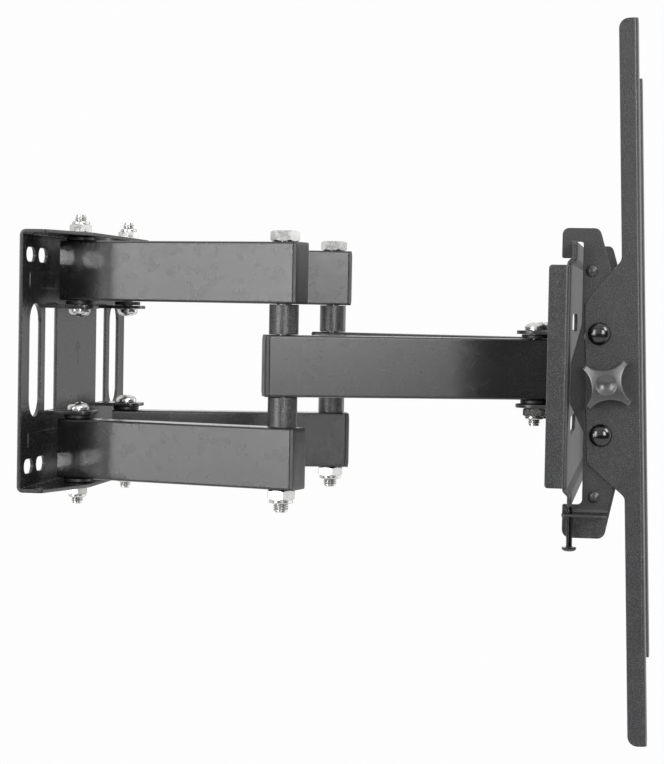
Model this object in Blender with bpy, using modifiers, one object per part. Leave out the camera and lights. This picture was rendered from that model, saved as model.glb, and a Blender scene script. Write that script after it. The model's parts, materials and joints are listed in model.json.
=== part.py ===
"""Full motion wall mount for a television, in metres: +Z up, +Y into the wall, the screen side at -Y.

The origin is the middle of the wall plate's back face. Two wall arms a side, one above the other,
fold sideways about bolts in the wall plate. One front arm a side runs from their elbow to a clevis on the
head plate. Two hook plates hang on the head plate's lips and carry the tilting screen rails.
"""

import math

import bmesh
import bpy
from mathutils import Matrix, Vector

MM = 0.001

# Sheet, tube and clearances
GAP = 0.3 * MM
SHEET = 2.4 * MM
TUBE_WIDTH = 20 * MM
TUBE_HEIGHT = 40 * MM
TUBE_WALL = 2 * MM
TUBE_CORNER = 2 * MM
BUSHING_THICKNESS = 2.5 * MM
BUSHING_RADIUS = 9.3 * MM
ROUND_STEPS = 16

# Linkage, seen from above
PIVOT_OUT = 22 * MM
WALL_PIVOT_X = 62 * MM
WALL_ARM_LENGTH = 152 * MM
FRONT_ARM_LENGTH = 168 * MM
WALL_ARM_SPLAY = math.radians(14)
ARM_END = 10 * MM
CAP_THICKNESS = 3 * MM
CAP_DEPTH = 3 * MM
SPACER_RADIUS = 9.6 * MM
SPACER_LENGTH = 20 * MM
OPEN_PIVOT_CLEARANCE = 1.3 * MM

# Wall plate
PLATE_WIDTH = 252 * MM
FLANGE_DEPTH_AT_END = 17 * MM
FLANGE_EDGE = 12 * MM
TAB_WIDTH = 25 * MM
LONG_SLOT = (97 * MM, 25 * MM, 75 * MM)
SHORT_SLOT_X = (108 * MM, 82 * MM)
SHORT_SLOT_HEIGHT = 69.5 * MM
SHORT_SLOT = (20 * MM, 9.5 * MM)

# Bolts and nuts
PIVOT_BOLT = 4 * MM
PIVOT_NUT_FLATS = 13 * MM
PIVOT_NUT_HEIGHT = 7.4 * MM
PAN_RADIUS = 7.4 * MM
PAN_HEIGHT = 5.2 * MM
THREAD_END = 4.4 * MM
ELBOW_BOLT = 5 * MM
ELBOW_NUT_FLATS = 17 * MM
ELBOW_NUT_HEIGHT = 9 * MM
HEX_HEAD_HEIGHT = 7 * MM
ELBOW_THREAD_END = 5.8 * MM

# Head plate
HEAD_WIDTH = 380 * MM
HEAD_HEIGHT = 132 * MM
HEAD_DEPTH = 12.8 * MM
WEB_FROM_PIVOT = 25.9 * MM
LIP_TOP = 80 * MM
LIP_BOTTOM = 76.4 * MM
LIP_JOGGLE = 3.1 * MM
LIP_INSET = 0.2 * MM
CLEVIS_WIDTH = 25 * MM
CLEVIS_REACH = 12.4 * MM
WEB_SLOT = (78 * MM, 11 * MM)
WEB_SLOT_AT = (108 * MM, 31.5 * MM)

# Screen rails, hook plates and tilt
RAIL_X = 157.5 * MM
RAIL_WIDTH = 28 * MM
RAIL_HEIGHT = 434 * MM
RAIL_SHEET = 2 * MM
RAIL_DEPTH = 11.5 * MM
RAIL_CORNER = 6 * MM
RAIL_BEND = 2.5 * MM
EAR_DEPTH = 33.5 * MM
EAR_TOP = (48 * MM, 74 * MM)
EAR_BOTTOM = (47 * MM, 67.5 * MM)
SCREEN_FROM_WEB = 43.2 * MM
TILT_BEHIND_SCREEN = 21 * MM
TILT_Z = -4.5 * MM
REST_TILT = math.radians(-2)
TILT_UP = math.radians(10)
TILT_DOWN = math.radians(7)
GUIDE_BEHIND_TILT = 4.3 * MM
GUIDE_FROM_TILT = 30.3 * MM
GUIDE_SHANK = 3 * MM
GUIDE_HEAD = (6.8 * MM, 4.6 * MM)
GUIDE_TAIL = (5 * MM, 1.5 * MM)
VESA_SLOT = (9 * MM, 22 * MM)
VESA_ROWS = (50 * MM, 100 * MM, 150 * MM, 200 * MM)
HOOK_SHEET = 3 * MM
HOOK_NOSE = 6.4 * MM
HOOK_HEIGHT = (88.5 * MM, -97.3 * MM)
LOCK_TAB_OUT = 12 * MM
LOCK_TAB_Z = -82 * MM
LOCK_TAB_REACH = 21 * MM
LOCK_SHANK = 2 * MM
LOCK_HEAD = (4.4 * MM, 2.6 * MM)
LOCK_DROP = 102 * MM
KNOB_TIP = 17.5 * MM
KNOB_WAIST = 8.8 * MM
KNOB_TIP_WIDTH = 3 * MM
KNOB_THICKNESS = 10 * MM
KNOB_COLLAR = (7.5 * MM, 4.5 * MM)
KNOB_TURN = math.radians(5)
STUD = 4 * MM
WELD_NUT = (13 * MM, 6 * MM)

# Derived
STEP = BUSHING_THICKNESS + 2 * GAP
STACK_TOP = 1.5 * TUBE_HEIGHT + SPACER_LENGTH
WALL_ARM_LOW = STACK_TOP - TUBE_HEIGHT
PLATE_HEIGHT = 2 * (STACK_TOP + STEP + SHEET)
TAB_TOP = WALL_ARM_LOW - STEP
EAR_Z = TUBE_HEIGHT / 2 + STEP
ELBOW_X = WALL_PIVOT_X + WALL_ARM_LENGTH * math.sin(WALL_ARM_SPLAY)
HEAD_PIVOT_X = WALL_PIVOT_X + WALL_ARM_LENGTH - FRONT_ARM_LENGTH
FRONT_ARM_SPLAY = math.asin((ELBOW_X - HEAD_PIVOT_X) / FRONT_ARM_LENGTH)
ELBOW_Y = -PIVOT_OUT - WALL_ARM_LENGTH * math.cos(WALL_ARM_SPLAY)
HEAD_PIVOT_Y = ELBOW_Y - FRONT_ARM_LENGTH * math.cos(FRONT_ARM_SPLAY)
WEB_BACK = HEAD_PIVOT_Y - WEB_FROM_PIVOT
WEB_FRONT = WEB_BACK - SHEET
LIP_BACK = WEB_BACK - LIP_JOGGLE
LIP_FRONT = LIP_BACK - SHEET
SCREEN = WEB_FRONT - SCREEN_FROM_WEB
TILT_Y = SCREEN + TILT_BEHIND_SCREEN
EAR_OUTSIDE = RAIL_X + RAIL_WIDTH / 2
HOOK_OUTSIDE = EAR_OUTSIDE - RAIL_SHEET - GAP
HOOK_INSIDE = HOOK_OUTSIDE - HOOK_SHEET
LOCK_Y = (LIP_BACK + LIP_FRONT) / 2


# Scene, materials and shapes

for leftover in list(bpy.data.objects):
    bpy.data.objects.remove(leftover)

mount = bpy.data.collections.new("full_motion_tv_wall_mount")
helpers = bpy.data.collections.new("cutters")
helpers.hide_render = True
for group in (mount, helpers):
    bpy.context.scene.collection.children.link(group)


def make_material(name, colour, roughness, metallic=0.0):
    material = bpy.data.materials.new(name)
    material.use_nodes = True
    shader = material.node_tree.nodes["Principled BSDF"]
    shader.inputs["Base Color"].default_value = (*colour, 1)
    shader.inputs["Roughness"].default_value = roughness
    shader.inputs["Metallic"].default_value = metallic
    return material


POWDER_COAT = make_material("black powder coat", (0.035, 0.035, 0.037), 0.45)
GREY_COAT = make_material("grey speckled powder coat", (0.08, 0.08, 0.083), 0.5)
ZINC = make_material("bright zinc plate", (0.72, 0.72, 0.7), 0.28, 1.0)
NYLON = make_material("black nylon", (0.02, 0.02, 0.021), 0.5)
BLACK_SCREW = make_material("gloss black screw", (0.012, 0.012, 0.013), 0.2)
KNOB_PLASTIC = make_material("moulded knob plastic", (0.09, 0.09, 0.092), 0.4)


def add_object(name, mesh, group=mount, material=None, parent=None):
    thing = bpy.data.objects.new(name, mesh)
    group.objects.link(thing)
    if material:
        mesh.materials.append(material)
    if parent:
        thing.parent = parent
    if group is helpers:
        thing.hide_render = True
        thing.display_type = "WIRE"
    return thing


def add_axis(name, location, rotation=(0, 0, 0), parent=None):
    axis = add_object(name, None, parent=parent)
    axis.location = location
    axis.rotation_euler = rotation
    return axis


def from_bmesh(name, form):
    mesh = bpy.data.meshes.new(name)
    bmesh.ops.recalc_face_normals(form, faces=form.faces)
    form.to_mesh(mesh)
    form.free()
    return mesh


def box(name, low, high):
    """A box between two opposite corners."""
    form = bmesh.new()
    size = [top - bottom for bottom, top in zip(low, high)]
    middle = [(top + bottom) / 2 for bottom, top in zip(low, high)]
    bmesh.ops.create_cube(form, size=1, matrix=Matrix.Translation(middle) @ Matrix.Diagonal((*size, 1)))
    return from_bmesh(name, form)


def cylinder(name, radius, low, high, steps=ROUND_STEPS, centre=(0, 0)):
    """An upright cylinder, or with six steps a hexagon, between two heights."""
    form = bmesh.new()
    place = Matrix.Translation((*centre, (low + high) / 2))
    bmesh.ops.create_cone(
        form, cap_ends=True, segments=steps, radius1=radius, radius2=radius, depth=high - low, matrix=place
    )
    return from_bmesh(name, form)


def arc(centre, radius, start, end, steps):
    """Points round a centre, with angles in radians."""
    turn = (end - start) / steps
    angles = [start + turn * index for index in range(steps + 1)]
    return [(centre[0] + radius * math.cos(a), centre[1] + radius * math.sin(a)) for a in angles]


def rounded(points, closed=True, steps=3):
    """Corners given as (x, y, radius), returned with each corner turned into an arc."""
    result = []
    last = len(points) - 1
    for index, (x, y, radius) in enumerate(points):
        at_end = not closed and index in (0, last)
        if radius == 0 or at_end:
            result.append((x, y))
            continue
        before, after = points[index - 1], points[(index + 1) % len(points)]
        to_before = math.atan2(before[1] - y, before[0] - x)
        to_after = math.atan2(after[1] - y, after[0] - x)
        opening = (to_after - to_before + math.pi) % (2 * math.pi) - math.pi
        half = abs(opening) / 2
        middle = to_before + opening / 2
        away = radius / math.sin(half)
        centre = (x + away * math.cos(middle), y + away * math.sin(middle))
        sweep = math.copysign(math.pi - 2 * half, -opening)
        start = middle + math.pi - sweep / 2
        result += arc(centre, radius, start, start + sweep, steps)
    return result


def flat_piece(name, outline, low, high, place=None):
    """A flat outline filled and given thickness from low to high along its own Z, then placed."""
    curve = bpy.data.curves.new(name, "CURVE")
    curve.dimensions = "2D"
    curve.fill_mode = "BOTH"
    curve.extrude = (high - low) / 2
    spline = curve.splines.new("POLY")
    spline.points.add(len(outline) - 1)
    for point, (x, y) in zip(spline.points, outline):
        point.co = (x, y, 0, 1)
    spline.use_cyclic_u = True
    sheet = add_object(name + "_outline", curve, helpers)
    bpy.context.view_layer.update()
    mesh = bpy.data.meshes.new_from_object(sheet.evaluated_get(bpy.context.evaluated_depsgraph_get()))
    bpy.data.objects.remove(sheet)
    form = bmesh.new()
    form.from_mesh(mesh)
    bmesh.ops.remove_doubles(form, verts=form.verts, dist=1e-6)
    place = (place or Matrix()) @ Matrix.Translation((0, 0, (low + high) / 2))
    bmesh.ops.transform(form, matrix=place, verts=form.verts)
    return from_bmesh(name, form)


# An outline drawn as (y, z) stands across X, and one drawn as (x, z) stands across Y.
ACROSS_X = Matrix(((0, 0, 1, 0), (1, 0, 0, 0), (0, 1, 0, 0), (0, 0, 0, 1)))
ACROSS_Y = Matrix(((1, 0, 0, 0), (0, 0, -1, 0), (0, 1, 0, 0), (0, 0, 0, 1)))


def slot_outline(x, y, width, height, steps=4):
    """A slot with round ends, long either way."""
    radius = min(width, height) / 2
    reach = abs(width - height) / 2
    if width > height:
        right = arc((x + reach, y), radius, -math.pi / 2, math.pi / 2, steps)
        return right + arc((x - reach, y), radius, math.pi / 2, math.pi * 1.5, steps)
    top = arc((x, y + reach), radius, 0, math.pi, steps)
    return top + arc((x, y - reach), radius, math.pi, math.pi * 2, steps)


def bent_sheet(name, path, low, high, thickness, place, inside=1):
    """A path bent in sheet metal and drawn out from low to high; inside says which side the metal is on."""
    form = bmesh.new()
    bottom = [form.verts.new((x, y, low)) for x, y in path]
    bottom_edges = [form.edges.new(pair) for pair in zip(bottom, bottom[1:])]
    drawn = bmesh.ops.extrude_edge_only(form, edges=bottom_edges)["geom"]
    moved = [item for item in drawn if isinstance(item, bmesh.types.BMVert)]
    bmesh.ops.translate(form, vec=(0, 0, high - low), verts=moved)
    bmesh.ops.transform(form, matrix=place, verts=form.verts)
    mesh = bpy.data.meshes.new(name)
    form.to_mesh(mesh)
    form.free()
    sheet = add_object(name, mesh)
    wall = sheet.modifiers.new("thickness", "SOLIDIFY")
    wall.thickness = thickness
    wall.offset = inside
    wall.use_even_offset = True
    return sheet


def turned(name, profile, closed=False, **where):
    """A profile of (radius, z) points, top to bottom along its outer side, turned about Z."""
    mesh = bpy.data.meshes.new(name)
    points = [(radius, 0, z) for radius, z in profile]
    edges = [(index, index + 1) for index in range(len(points) - 1)]
    if closed:
        edges.append((len(points) - 1, 0))
    mesh.from_pydata(points, edges, [])
    piece = add_object(name, mesh, **where)
    screw = piece.modifiers.new("turn", "SCREW")
    screw.steps = screw.render_steps = ROUND_STEPS
    screw.use_merge_vertices = True
    screw.merge_threshold = 1e-5
    screw.use_smooth_shade = False
    return piece


def ring(name, inner, outer, low, high, **where):
    profile = [(outer, high), (outer, low), (inner, low), (inner, high)]
    return turned(name, profile, closed=True, **where)


def combine(piece, operation, meshes, name):
    """Adds, cuts or keeps with one helper that holds all the given meshes."""
    form = bmesh.new()
    for mesh in meshes:
        form.from_mesh(mesh)
        bpy.data.meshes.remove(mesh)
    joined = bpy.data.meshes.new(name)
    form.to_mesh(joined)
    form.free()
    helper = add_object(name, joined, helpers, parent=piece.parent)
    helper.location = piece.location
    helper.rotation_euler = piece.rotation_euler
    change = piece.modifiers.new(operation.lower(), "BOOLEAN")
    change.operation = operation
    change.solver = "EXACT"
    change.object = helper


def side_name(side):
    return "left" if side < 0 else "right"


def level_name(level):
    return "upper" if level > 0 else "lower"


# Wall plate: a channel with top and bottom flanges, and tabs lanced forward from its two windows

half_height = PLATE_HEIGHT / 2
flange_depth = PIVOT_OUT + FLANGE_EDGE
channel_path = [(-flange_depth, half_height, 0), (0, half_height, 4 * MM)]
channel_path += [(0, -half_height, 4 * MM), (-flange_depth, -half_height, 0)]
wall_plate = bent_sheet(
    "wall_plate",
    rounded(channel_path, closed=False),
    -PLATE_WIDTH / 2,
    PLATE_WIDTH / 2,
    SHEET,
    ACROSS_X,
    inside=-1,
)
wall_plate.data.materials.append(POWDER_COAT)
flange_half = WALL_PIVOT_X + BUSHING_RADIUS + 4 * MM
end = PLATE_WIDTH / 2
flange_outline = [(-end, MM, 0), (-end, -FLANGE_DEPTH_AT_END, 3 * MM), (-flange_half, -flange_depth, 8 * MM)]
flange_outline += [(-x, y, radius) for x, y, radius in reversed(flange_outline)]
keep = flat_piece("flange_shape", rounded(flange_outline), -half_height - MM, half_height + MM)
combine(wall_plate, "INTERSECT", [keep], "wall_plate_flange_shape")

tabs = []
for side in (-1, 1):
    for level in (-1, 1):
        edges = sorted((level * TAB_TOP, level * (TAB_TOP - SHEET)))
        x_low, x_high = side * WALL_PIVOT_X - TAB_WIDTH / 2, side * WALL_PIVOT_X + TAB_WIDTH / 2
        outline = [(x_low, -SHEET / 2, 0), (x_high, -SHEET / 2, 0)]
        outline += [(x_high, -flange_depth, 8 * MM), (x_low, -flange_depth, 8 * MM)]
        tabs.append(flat_piece("tab", rounded(outline), *edges))
combine(wall_plate, "UNION", tabs, "wall_plate_tabs")

window_half = TAB_TOP - SHEET
plate_cuts = []
for side in (-1, 1):
    x = side * WALL_PIVOT_X
    low = (x - TAB_WIDTH / 2 - MM, -SHEET - MM, -window_half)
    high = (x + TAB_WIDTH / 2 + MM, MM, window_half)
    plate_cuts.append(box("window", low, high))
    slots = [slot_outline(side * LONG_SLOT[0], 0, *LONG_SLOT[1:])]
    for level in (-1, 1):
        slots += [slot_outline(side * at, level * SHORT_SLOT_HEIGHT, *SHORT_SLOT) for at in SHORT_SLOT_X]
    plate_cuts += [flat_piece("slot", outline, -MM, SHEET + MM, ACROSS_Y) for outline in slots]
    hole = PIVOT_BOLT + GAP
    plate_cuts.append(cylinder("hole", hole, -half_height - MM, half_height + MM, centre=(x, -PIVOT_OUT)))
combine(wall_plate, "DIFFERENCE", plate_cuts, "wall_plate_openings")


# Tubes, caps, bolts, nuts, bushings and spacers


def make_tube(name, parent, length, low, holes):
    """A rectangular tube from behind its first pivot to past its second, drilled for both bolts."""
    half = TUBE_WIDTH / 2
    near, far = ARM_END, -length - ARM_END
    tube = add_object(name, box(name, (-half, far, low), (half, near, low + TUBE_HEIGHT)), parent=parent)
    tube.data.materials.append(POWDER_COAT)
    corners = tube.modifiers.new("corners", "BEVEL")
    corners.width = TUBE_CORNER
    corners.segments = 2
    corners.limit_method = "WEIGHT"
    weights = tube.data.attributes.new("bevel_weight_edge", "FLOAT", "EDGE")
    for edge, weight in zip(tube.data.edges, weights.data):
        start, finish = (tube.data.vertices[index].co for index in edge.vertices)
        weight.value = 1.0 if abs(start.y - finish.y) > length else 0.0
    inner = half - TUBE_WALL
    bore = box(
        "bore", (-inner, far - MM, low + TUBE_WALL), (inner, near + MM, low + TUBE_HEIGHT - TUBE_WALL)
    )
    combine(tube, "DIFFERENCE", [bore], name + "_bore")
    drills = []
    for y, radius in holes:
        drills.append(cylinder("drill", radius, low - MM, low + TUBE_HEIGHT + MM, centre=(0, y)))
    combine(tube, "DIFFERENCE", drills, name + "_bolt_holes")
    return tube


def make_cap(name, parent, length, low):
    """A moulded end plug: a face as large as the tube and a shank that fits inside it."""
    half = TUBE_WIDTH / 2
    end = -length - ARM_END - GAP
    face = box(name, (-half, end - CAP_THICKNESS, low), (half, end, low + TUBE_HEIGHT))
    form = bmesh.new()
    form.from_mesh(face)
    form.faces.ensure_lookup_table()
    inward = max(form.faces, key=lambda side: side.calc_center_median().y)
    bmesh.ops.inset_region(form, faces=[inward], thickness=TUBE_WALL + GAP, use_even_offset=True)
    shank = bmesh.ops.extrude_face_region(form, geom=[inward])["geom"]
    moved = [item for item in shank if isinstance(item, bmesh.types.BMVert)]
    bmesh.ops.delete(form, geom=[inward], context="FACES_ONLY")
    bmesh.ops.translate(form, vec=(0, CAP_DEPTH, 0), verts=moved)
    form.to_mesh(face)
    form.free()
    return add_object(name, face, material=NYLON, parent=parent)


def make_pan_bolt(name, parent, x, y, seat, length, level):
    """A pan-head bolt, its head's seat at a height, its shank running up, or down for level -1."""
    profile = [(0, length), (PIVOT_BOLT * 0.8, length), (PIVOT_BOLT, length - MM), (PIVOT_BOLT, 0)]
    profile += [(PAN_RADIUS, 0), (PAN_RADIUS, -PAN_HEIGHT * 0.35)]
    profile += [(PAN_RADIUS * 0.72, -PAN_HEIGHT * 0.85), (0, -PAN_HEIGHT)]
    bolt = turned(name, profile, material=ZINC, parent=parent)
    bolt.location = (x, y, seat)
    if level < 0:
        bolt.rotation_euler.x = math.pi
    return bolt


def make_nut(name, parent, x, y, seat, bolt_radius, flats, height, level):
    """A hexagon nut with a round locking collar at its outer end."""
    hexagon = flats / math.sqrt(3)
    nut = add_object(name, cylinder(name, hexagon, 0, height * 0.8, 6), material=ZINC, parent=parent)
    nut.location = (x, y, seat)
    if level < 0:
        nut.rotation_euler.x = math.pi
    collar = cylinder("collar", flats / 2 * 0.94, height * 0.7, height)
    combine(nut, "UNION", [collar], name + "_collar")
    combine(nut, "DIFFERENCE", [cylinder("thread", bolt_radius + GAP, -MM, height + MM)], name + "_thread")
    return nut


# Arms, built from the wall outwards on each side

for side in (-1, 1):
    hand = side_name(side)
    wall_axis = add_axis(
        hand + "_wall_pivot_axis", (side * WALL_PIVOT_X, -PIVOT_OUT, 0), (0, 0, side * WALL_ARM_SPLAY)
    )
    front_axis = add_axis(
        hand + "_elbow_axis",
        (0, -WALL_ARM_LENGTH, 0),
        (0, 0, -side * (WALL_ARM_SPLAY + FRONT_ARM_SPLAY)),
        parent=wall_axis,
    )
    wall_holes = ((0, PIVOT_BOLT + GAP), (-WALL_ARM_LENGTH, ELBOW_BOLT + GAP))
    for level in (1, -1):
        height = level_name(level)
        low = WALL_ARM_LOW if level > 0 else -STACK_TOP
        make_tube(f"{hand}_{height}_wall_arm", wall_axis, WALL_ARM_LENGTH, low, wall_holes)
        make_cap(f"{hand}_{height}_wall_arm_cap", wall_axis, WALL_ARM_LENGTH, low)

        place = {"x": side * WALL_PIVOT_X, "y": -PIVOT_OUT}
        seat = level * (window_half - GAP)
        nut_seat = half_height + GAP
        shank = nut_seat + PIVOT_NUT_HEIGHT + THREAD_END - abs(seat)
        make_pan_bolt(f"{hand}_{height}_wall_bolt", None, seat=seat, length=shank, level=level, **place)
        make_nut(
            f"{hand}_{height}_wall_nut",
            None,
            seat=level * nut_seat,
            bolt_radius=PIVOT_BOLT,
            flats=PIVOT_NUT_FLATS,
            height=PIVOT_NUT_HEIGHT,
            level=level,
            **place,
        )
        for part, bottom in (("outer", STACK_TOP + GAP), ("inner", TAB_TOP + GAP)):
            bottom = bottom if level > 0 else -bottom - BUSHING_THICKNESS
            bushing = ring(
                f"{hand}_{height}_{part}_wall_bushing",
                PIVOT_BOLT + GAP,
                BUSHING_RADIUS,
                bottom,
                bottom + BUSHING_THICKNESS,
                material=NYLON,
            )
            bushing.location = (side * WALL_PIVOT_X, -PIVOT_OUT, 0)

        bottom = TUBE_HEIGHT / 2 + GAP
        bottom = bottom if level > 0 else -bottom - SPACER_LENGTH + 2 * GAP
        spacer = ring(
            f"{hand}_{height}_elbow_spacer",
            ELBOW_BOLT + GAP,
            SPACER_RADIUS,
            bottom,
            bottom + SPACER_LENGTH - 2 * GAP,
            material=POWDER_COAT,
            parent=wall_axis,
        )
        spacer.location = (0, -WALL_ARM_LENGTH, 0)

    head_low = STACK_TOP + GAP
    shank_low = -head_low - ELBOW_NUT_HEIGHT - ELBOW_THREAD_END
    shank = cylinder("shank", ELBOW_BOLT, shank_low, head_low + 0.5 * MM)
    bolt = add_object(hand + "_elbow_bolt", shank, material=ZINC, parent=wall_axis)
    bolt.location = (0, -WALL_ARM_LENGTH, 0)
    head = cylinder("head", ELBOW_NUT_FLATS / math.sqrt(3), head_low, head_low + HEX_HEAD_HEIGHT, 6)
    combine(bolt, "UNION", [head], hand + "_elbow_bolt_head")
    make_nut(
        hand + "_elbow_nut",
        wall_axis,
        0,
        -WALL_ARM_LENGTH,
        -STACK_TOP - GAP,
        ELBOW_BOLT,
        ELBOW_NUT_FLATS,
        ELBOW_NUT_HEIGHT,
        -1,
    )

    # The right arm's hole at the head is slack, so that both sides can fold together
    head_clearance = OPEN_PIVOT_CLEARANCE if side > 0 else GAP
    front_holes = ((0, ELBOW_BOLT + GAP), (-FRONT_ARM_LENGTH, PIVOT_BOLT + head_clearance))
    make_tube(hand + "_front_arm", front_axis, FRONT_ARM_LENGTH, -TUBE_HEIGHT / 2, front_holes)
    cap = make_cap(hand + "_front_arm_cap", front_axis, 0, -TUBE_HEIGHT / 2)
    cap.rotation_euler.z = math.pi


# Head plate: a wide web with a lip along its top and bottom, end flanges and four weight-saving slots

lip_start = HEAD_HEIGHT / 2 + MM
lip_full = lip_start + LIP_JOGGLE
web_path = [(LIP_BACK, LIP_TOP, 0), (LIP_BACK, lip_full, 1.5 * MM), (WEB_BACK, lip_start, 1.5 * MM)]
web_path += [(WEB_BACK, -lip_start, 1.5 * MM), (LIP_BACK, -lip_full, 1.5 * MM), (LIP_BACK, -LIP_BOTTOM, 0)]
head_plate = bent_sheet(
    "head_plate",
    rounded(web_path, closed=False, steps=2),
    -HEAD_WIDTH / 2 + LIP_INSET,
    HEAD_WIDTH / 2 - LIP_INSET,
    SHEET,
    ACROSS_X,
    inside=-1,
)
head_plate.data.materials.append(GREY_COAT)
flanges = []
half = HEAD_HEIGHT / 2
flange_front = WEB_FRONT + SHEET / 2
flange_back = WEB_FRONT + HEAD_DEPTH
outline = [(flange_front, -half, 0), (flange_front, half, 0)]
outline += [(flange_back, half, 2 * MM), (flange_back, -half, 2 * MM)]
for side in (-1, 1):
    ends = sorted((side * HEAD_WIDTH / 2, side * (HEAD_WIDTH / 2 - SHEET)))
    flanges.append(flat_piece("flange", rounded(outline), *ends, ACROSS_X))
combine(head_plate, "UNION", flanges, "head_plate_flanges")
web_slots = []
for side in (-1, 1):
    for level in (-1, 1):
        outline = slot_outline(side * WEB_SLOT_AT[0], level * WEB_SLOT_AT[1], *WEB_SLOT)
        web_slots.append(flat_piece("web_slot", outline, -WEB_BACK - MM, -WEB_FRONT + MM, ACROSS_Y))
combine(head_plate, "DIFFERENCE", web_slots, "head_plate_slots")

for side in (-1, 1):
    hand = side_name(side)
    x = side * HEAD_PIVOT_X
    clevis_back = WEB_BACK + GAP
    ear_outside = EAR_Z + SHEET
    ear_end = HEAD_PIVOT_Y + CLEVIS_REACH
    path = [(ear_end, ear_outside, 0), (clevis_back, ear_outside, 3.4 * MM)]
    path += [(clevis_back, -ear_outside, 3.4 * MM), (ear_end, -ear_outside, 0)]
    clevis = bent_sheet(
        hand + "_arm_clevis",
        rounded(path, closed=False),
        x - CLEVIS_WIDTH / 2,
        x + CLEVIS_WIDTH / 2,
        SHEET,
        ACROSS_X,
        inside=1,
    )
    clevis.data.materials.append(GREY_COAT)
    round_end = arc((x, HEAD_PIVOT_Y), CLEVIS_REACH, 0, math.pi, 8)
    round_end += [(x - CLEVIS_REACH, clevis_back - MM), (x + CLEVIS_REACH, clevis_back - MM)]
    keep = flat_piece("ear_shape", round_end, -ear_outside - MM, ear_outside + MM)
    combine(clevis, "INTERSECT", [keep], hand + "_arm_clevis_shape")
    drill = cylinder(
        "drill", PIVOT_BOLT + GAP, -ear_outside - MM, ear_outside + MM, centre=(x, HEAD_PIVOT_Y)
    )
    combine(clevis, "DIFFERENCE", [drill], hand + "_arm_clevis_hole")

    place = {"x": x, "y": HEAD_PIVOT_Y, "level": -1}
    seat = ear_outside + GAP
    shank = 2 * seat + PIVOT_NUT_HEIGHT + THREAD_END
    make_pan_bolt(hand + "_head_bolt", None, seat=seat, length=shank, **place)
    make_nut(
        hand + "_head_nut",
        None,
        seat=-seat,
        bolt_radius=PIVOT_BOLT,
        flats=PIVOT_NUT_FLATS,
        height=PIVOT_NUT_HEIGHT,
        **place,
    )
    for level in (1, -1):
        bottom = TUBE_HEIGHT / 2 + GAP if level > 0 else -TUBE_HEIGHT / 2 - GAP - BUSHING_THICKNESS
        bushing = ring(
            f"{hand}_{level_name(level)}_head_bushing",
            PIVOT_BOLT + GAP,
            BUSHING_RADIUS,
            bottom,
            bottom + BUSHING_THICKNESS,
            material=NYLON,
        )
        bushing.location = (x, HEAD_PIVOT_Y, 0)


# Hook plates, screen rails, knobs and screws


def hook_outline():
    """The hook plate as (y, z): a hook over the top lip, a pad on the web and a foot under the lip."""
    top, bottom = HOOK_HEIGHT
    nose_front = LIP_BACK + 0.6 * MM
    nose_back = nose_front + HOOK_NOSE
    slot_front = LIP_FRONT - 3.3 * MM
    pad = WEB_FRONT - GAP
    lower_back = slot_front - 2.4 * MM
    foot_back = nose_back - 3.4 * MM
    foot_top = -LIP_BOTTOM - 2 * GAP
    crown = SCREEN + RAIL_SHEET + 4.4 * MM
    return [
        (nose_back, top, 4 * MM),
        (nose_back, LIP_TOP - 9.6 * MM, 1.2 * MM),
        (nose_front, LIP_TOP - 9.6 * MM, 0.6 * MM),
        (nose_front, LIP_TOP + GAP, 0.6 * MM),
        (slot_front, LIP_TOP + GAP, 1.5 * MM),
        (slot_front, TILT_Z + 36 * MM, 2 * MM),
        (pad, TILT_Z + 12 * MM, 3 * MM),
        (pad, TILT_Z - 12 * MM, 3 * MM),
        (lower_back, TILT_Z - 29 * MM, 3 * MM),
        (lower_back, foot_top, 3 * MM),
        (foot_back, foot_top, 0.8 * MM),
        (foot_back, bottom, 5 * MM),
        (LIP_FRONT - 19 * MM, bottom, 5 * MM),
        (crown, TILT_Z - 24 * MM, 8 * MM),
        (crown, TILT_Z + 20 * MM, 8 * MM),
        (LIP_FRONT - 14 * MM, top - 4 * MM, 4 * MM),
        (LIP_FRONT - 12.6 * MM, top, 4 * MM),
    ]


def arc_slot(radius, middle, half_turn, half_width, steps=6):
    """A slot curved about the tilt axis, with points as (y, z) from that axis."""
    low, high = middle - half_turn, middle + half_turn
    first = (radius * math.cos(high), radius * math.sin(high))
    last = (radius * math.cos(low), radius * math.sin(low))
    outline = arc((0, 0), radius + half_width, low, high, steps)[:-1]
    outline += arc(first, half_width, high, high + math.pi, 4)[:-1]
    outline += arc((0, 0), radius - half_width, high, low, steps)[:-1]
    return outline + arc(last, half_width, low - math.pi, low, 4)[:-1]


guide_radius = math.hypot(GUIDE_BEHIND_TILT, GUIDE_FROM_TILT)
guide_angle = math.atan2(GUIDE_FROM_TILT, GUIDE_BEHIND_TILT)
tilt_middle = REST_TILT + (TILT_DOWN - TILT_UP) / 2
tilt_half = (TILT_DOWN + TILT_UP) / 2 + math.radians(1)
at_tilt_axis = Matrix.Translation((0, TILT_Y, TILT_Z))


def rail_outline():
    """The rail's side view from the tilt axis, as (y, z): a shallow flange that deepens into an ear."""
    front = -TILT_BEHIND_SCREEN
    flange = front + RAIL_DEPTH
    ear = front + EAR_DEPTH
    half = RAIL_HEIGHT / 2
    outside = front - 2 * MM
    return [
        (outside, half, 0),
        (outside, -half, 0),
        (flange, -half, RAIL_CORNER),
        (flange, -EAR_BOTTOM[1], 5 * MM),
        (ear, -EAR_BOTTOM[0], 4 * MM),
        (ear, EAR_TOP[0], 4 * MM),
        (flange, EAR_TOP[1], 6 * MM),
        (flange, half, RAIL_CORNER),
    ]


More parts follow.
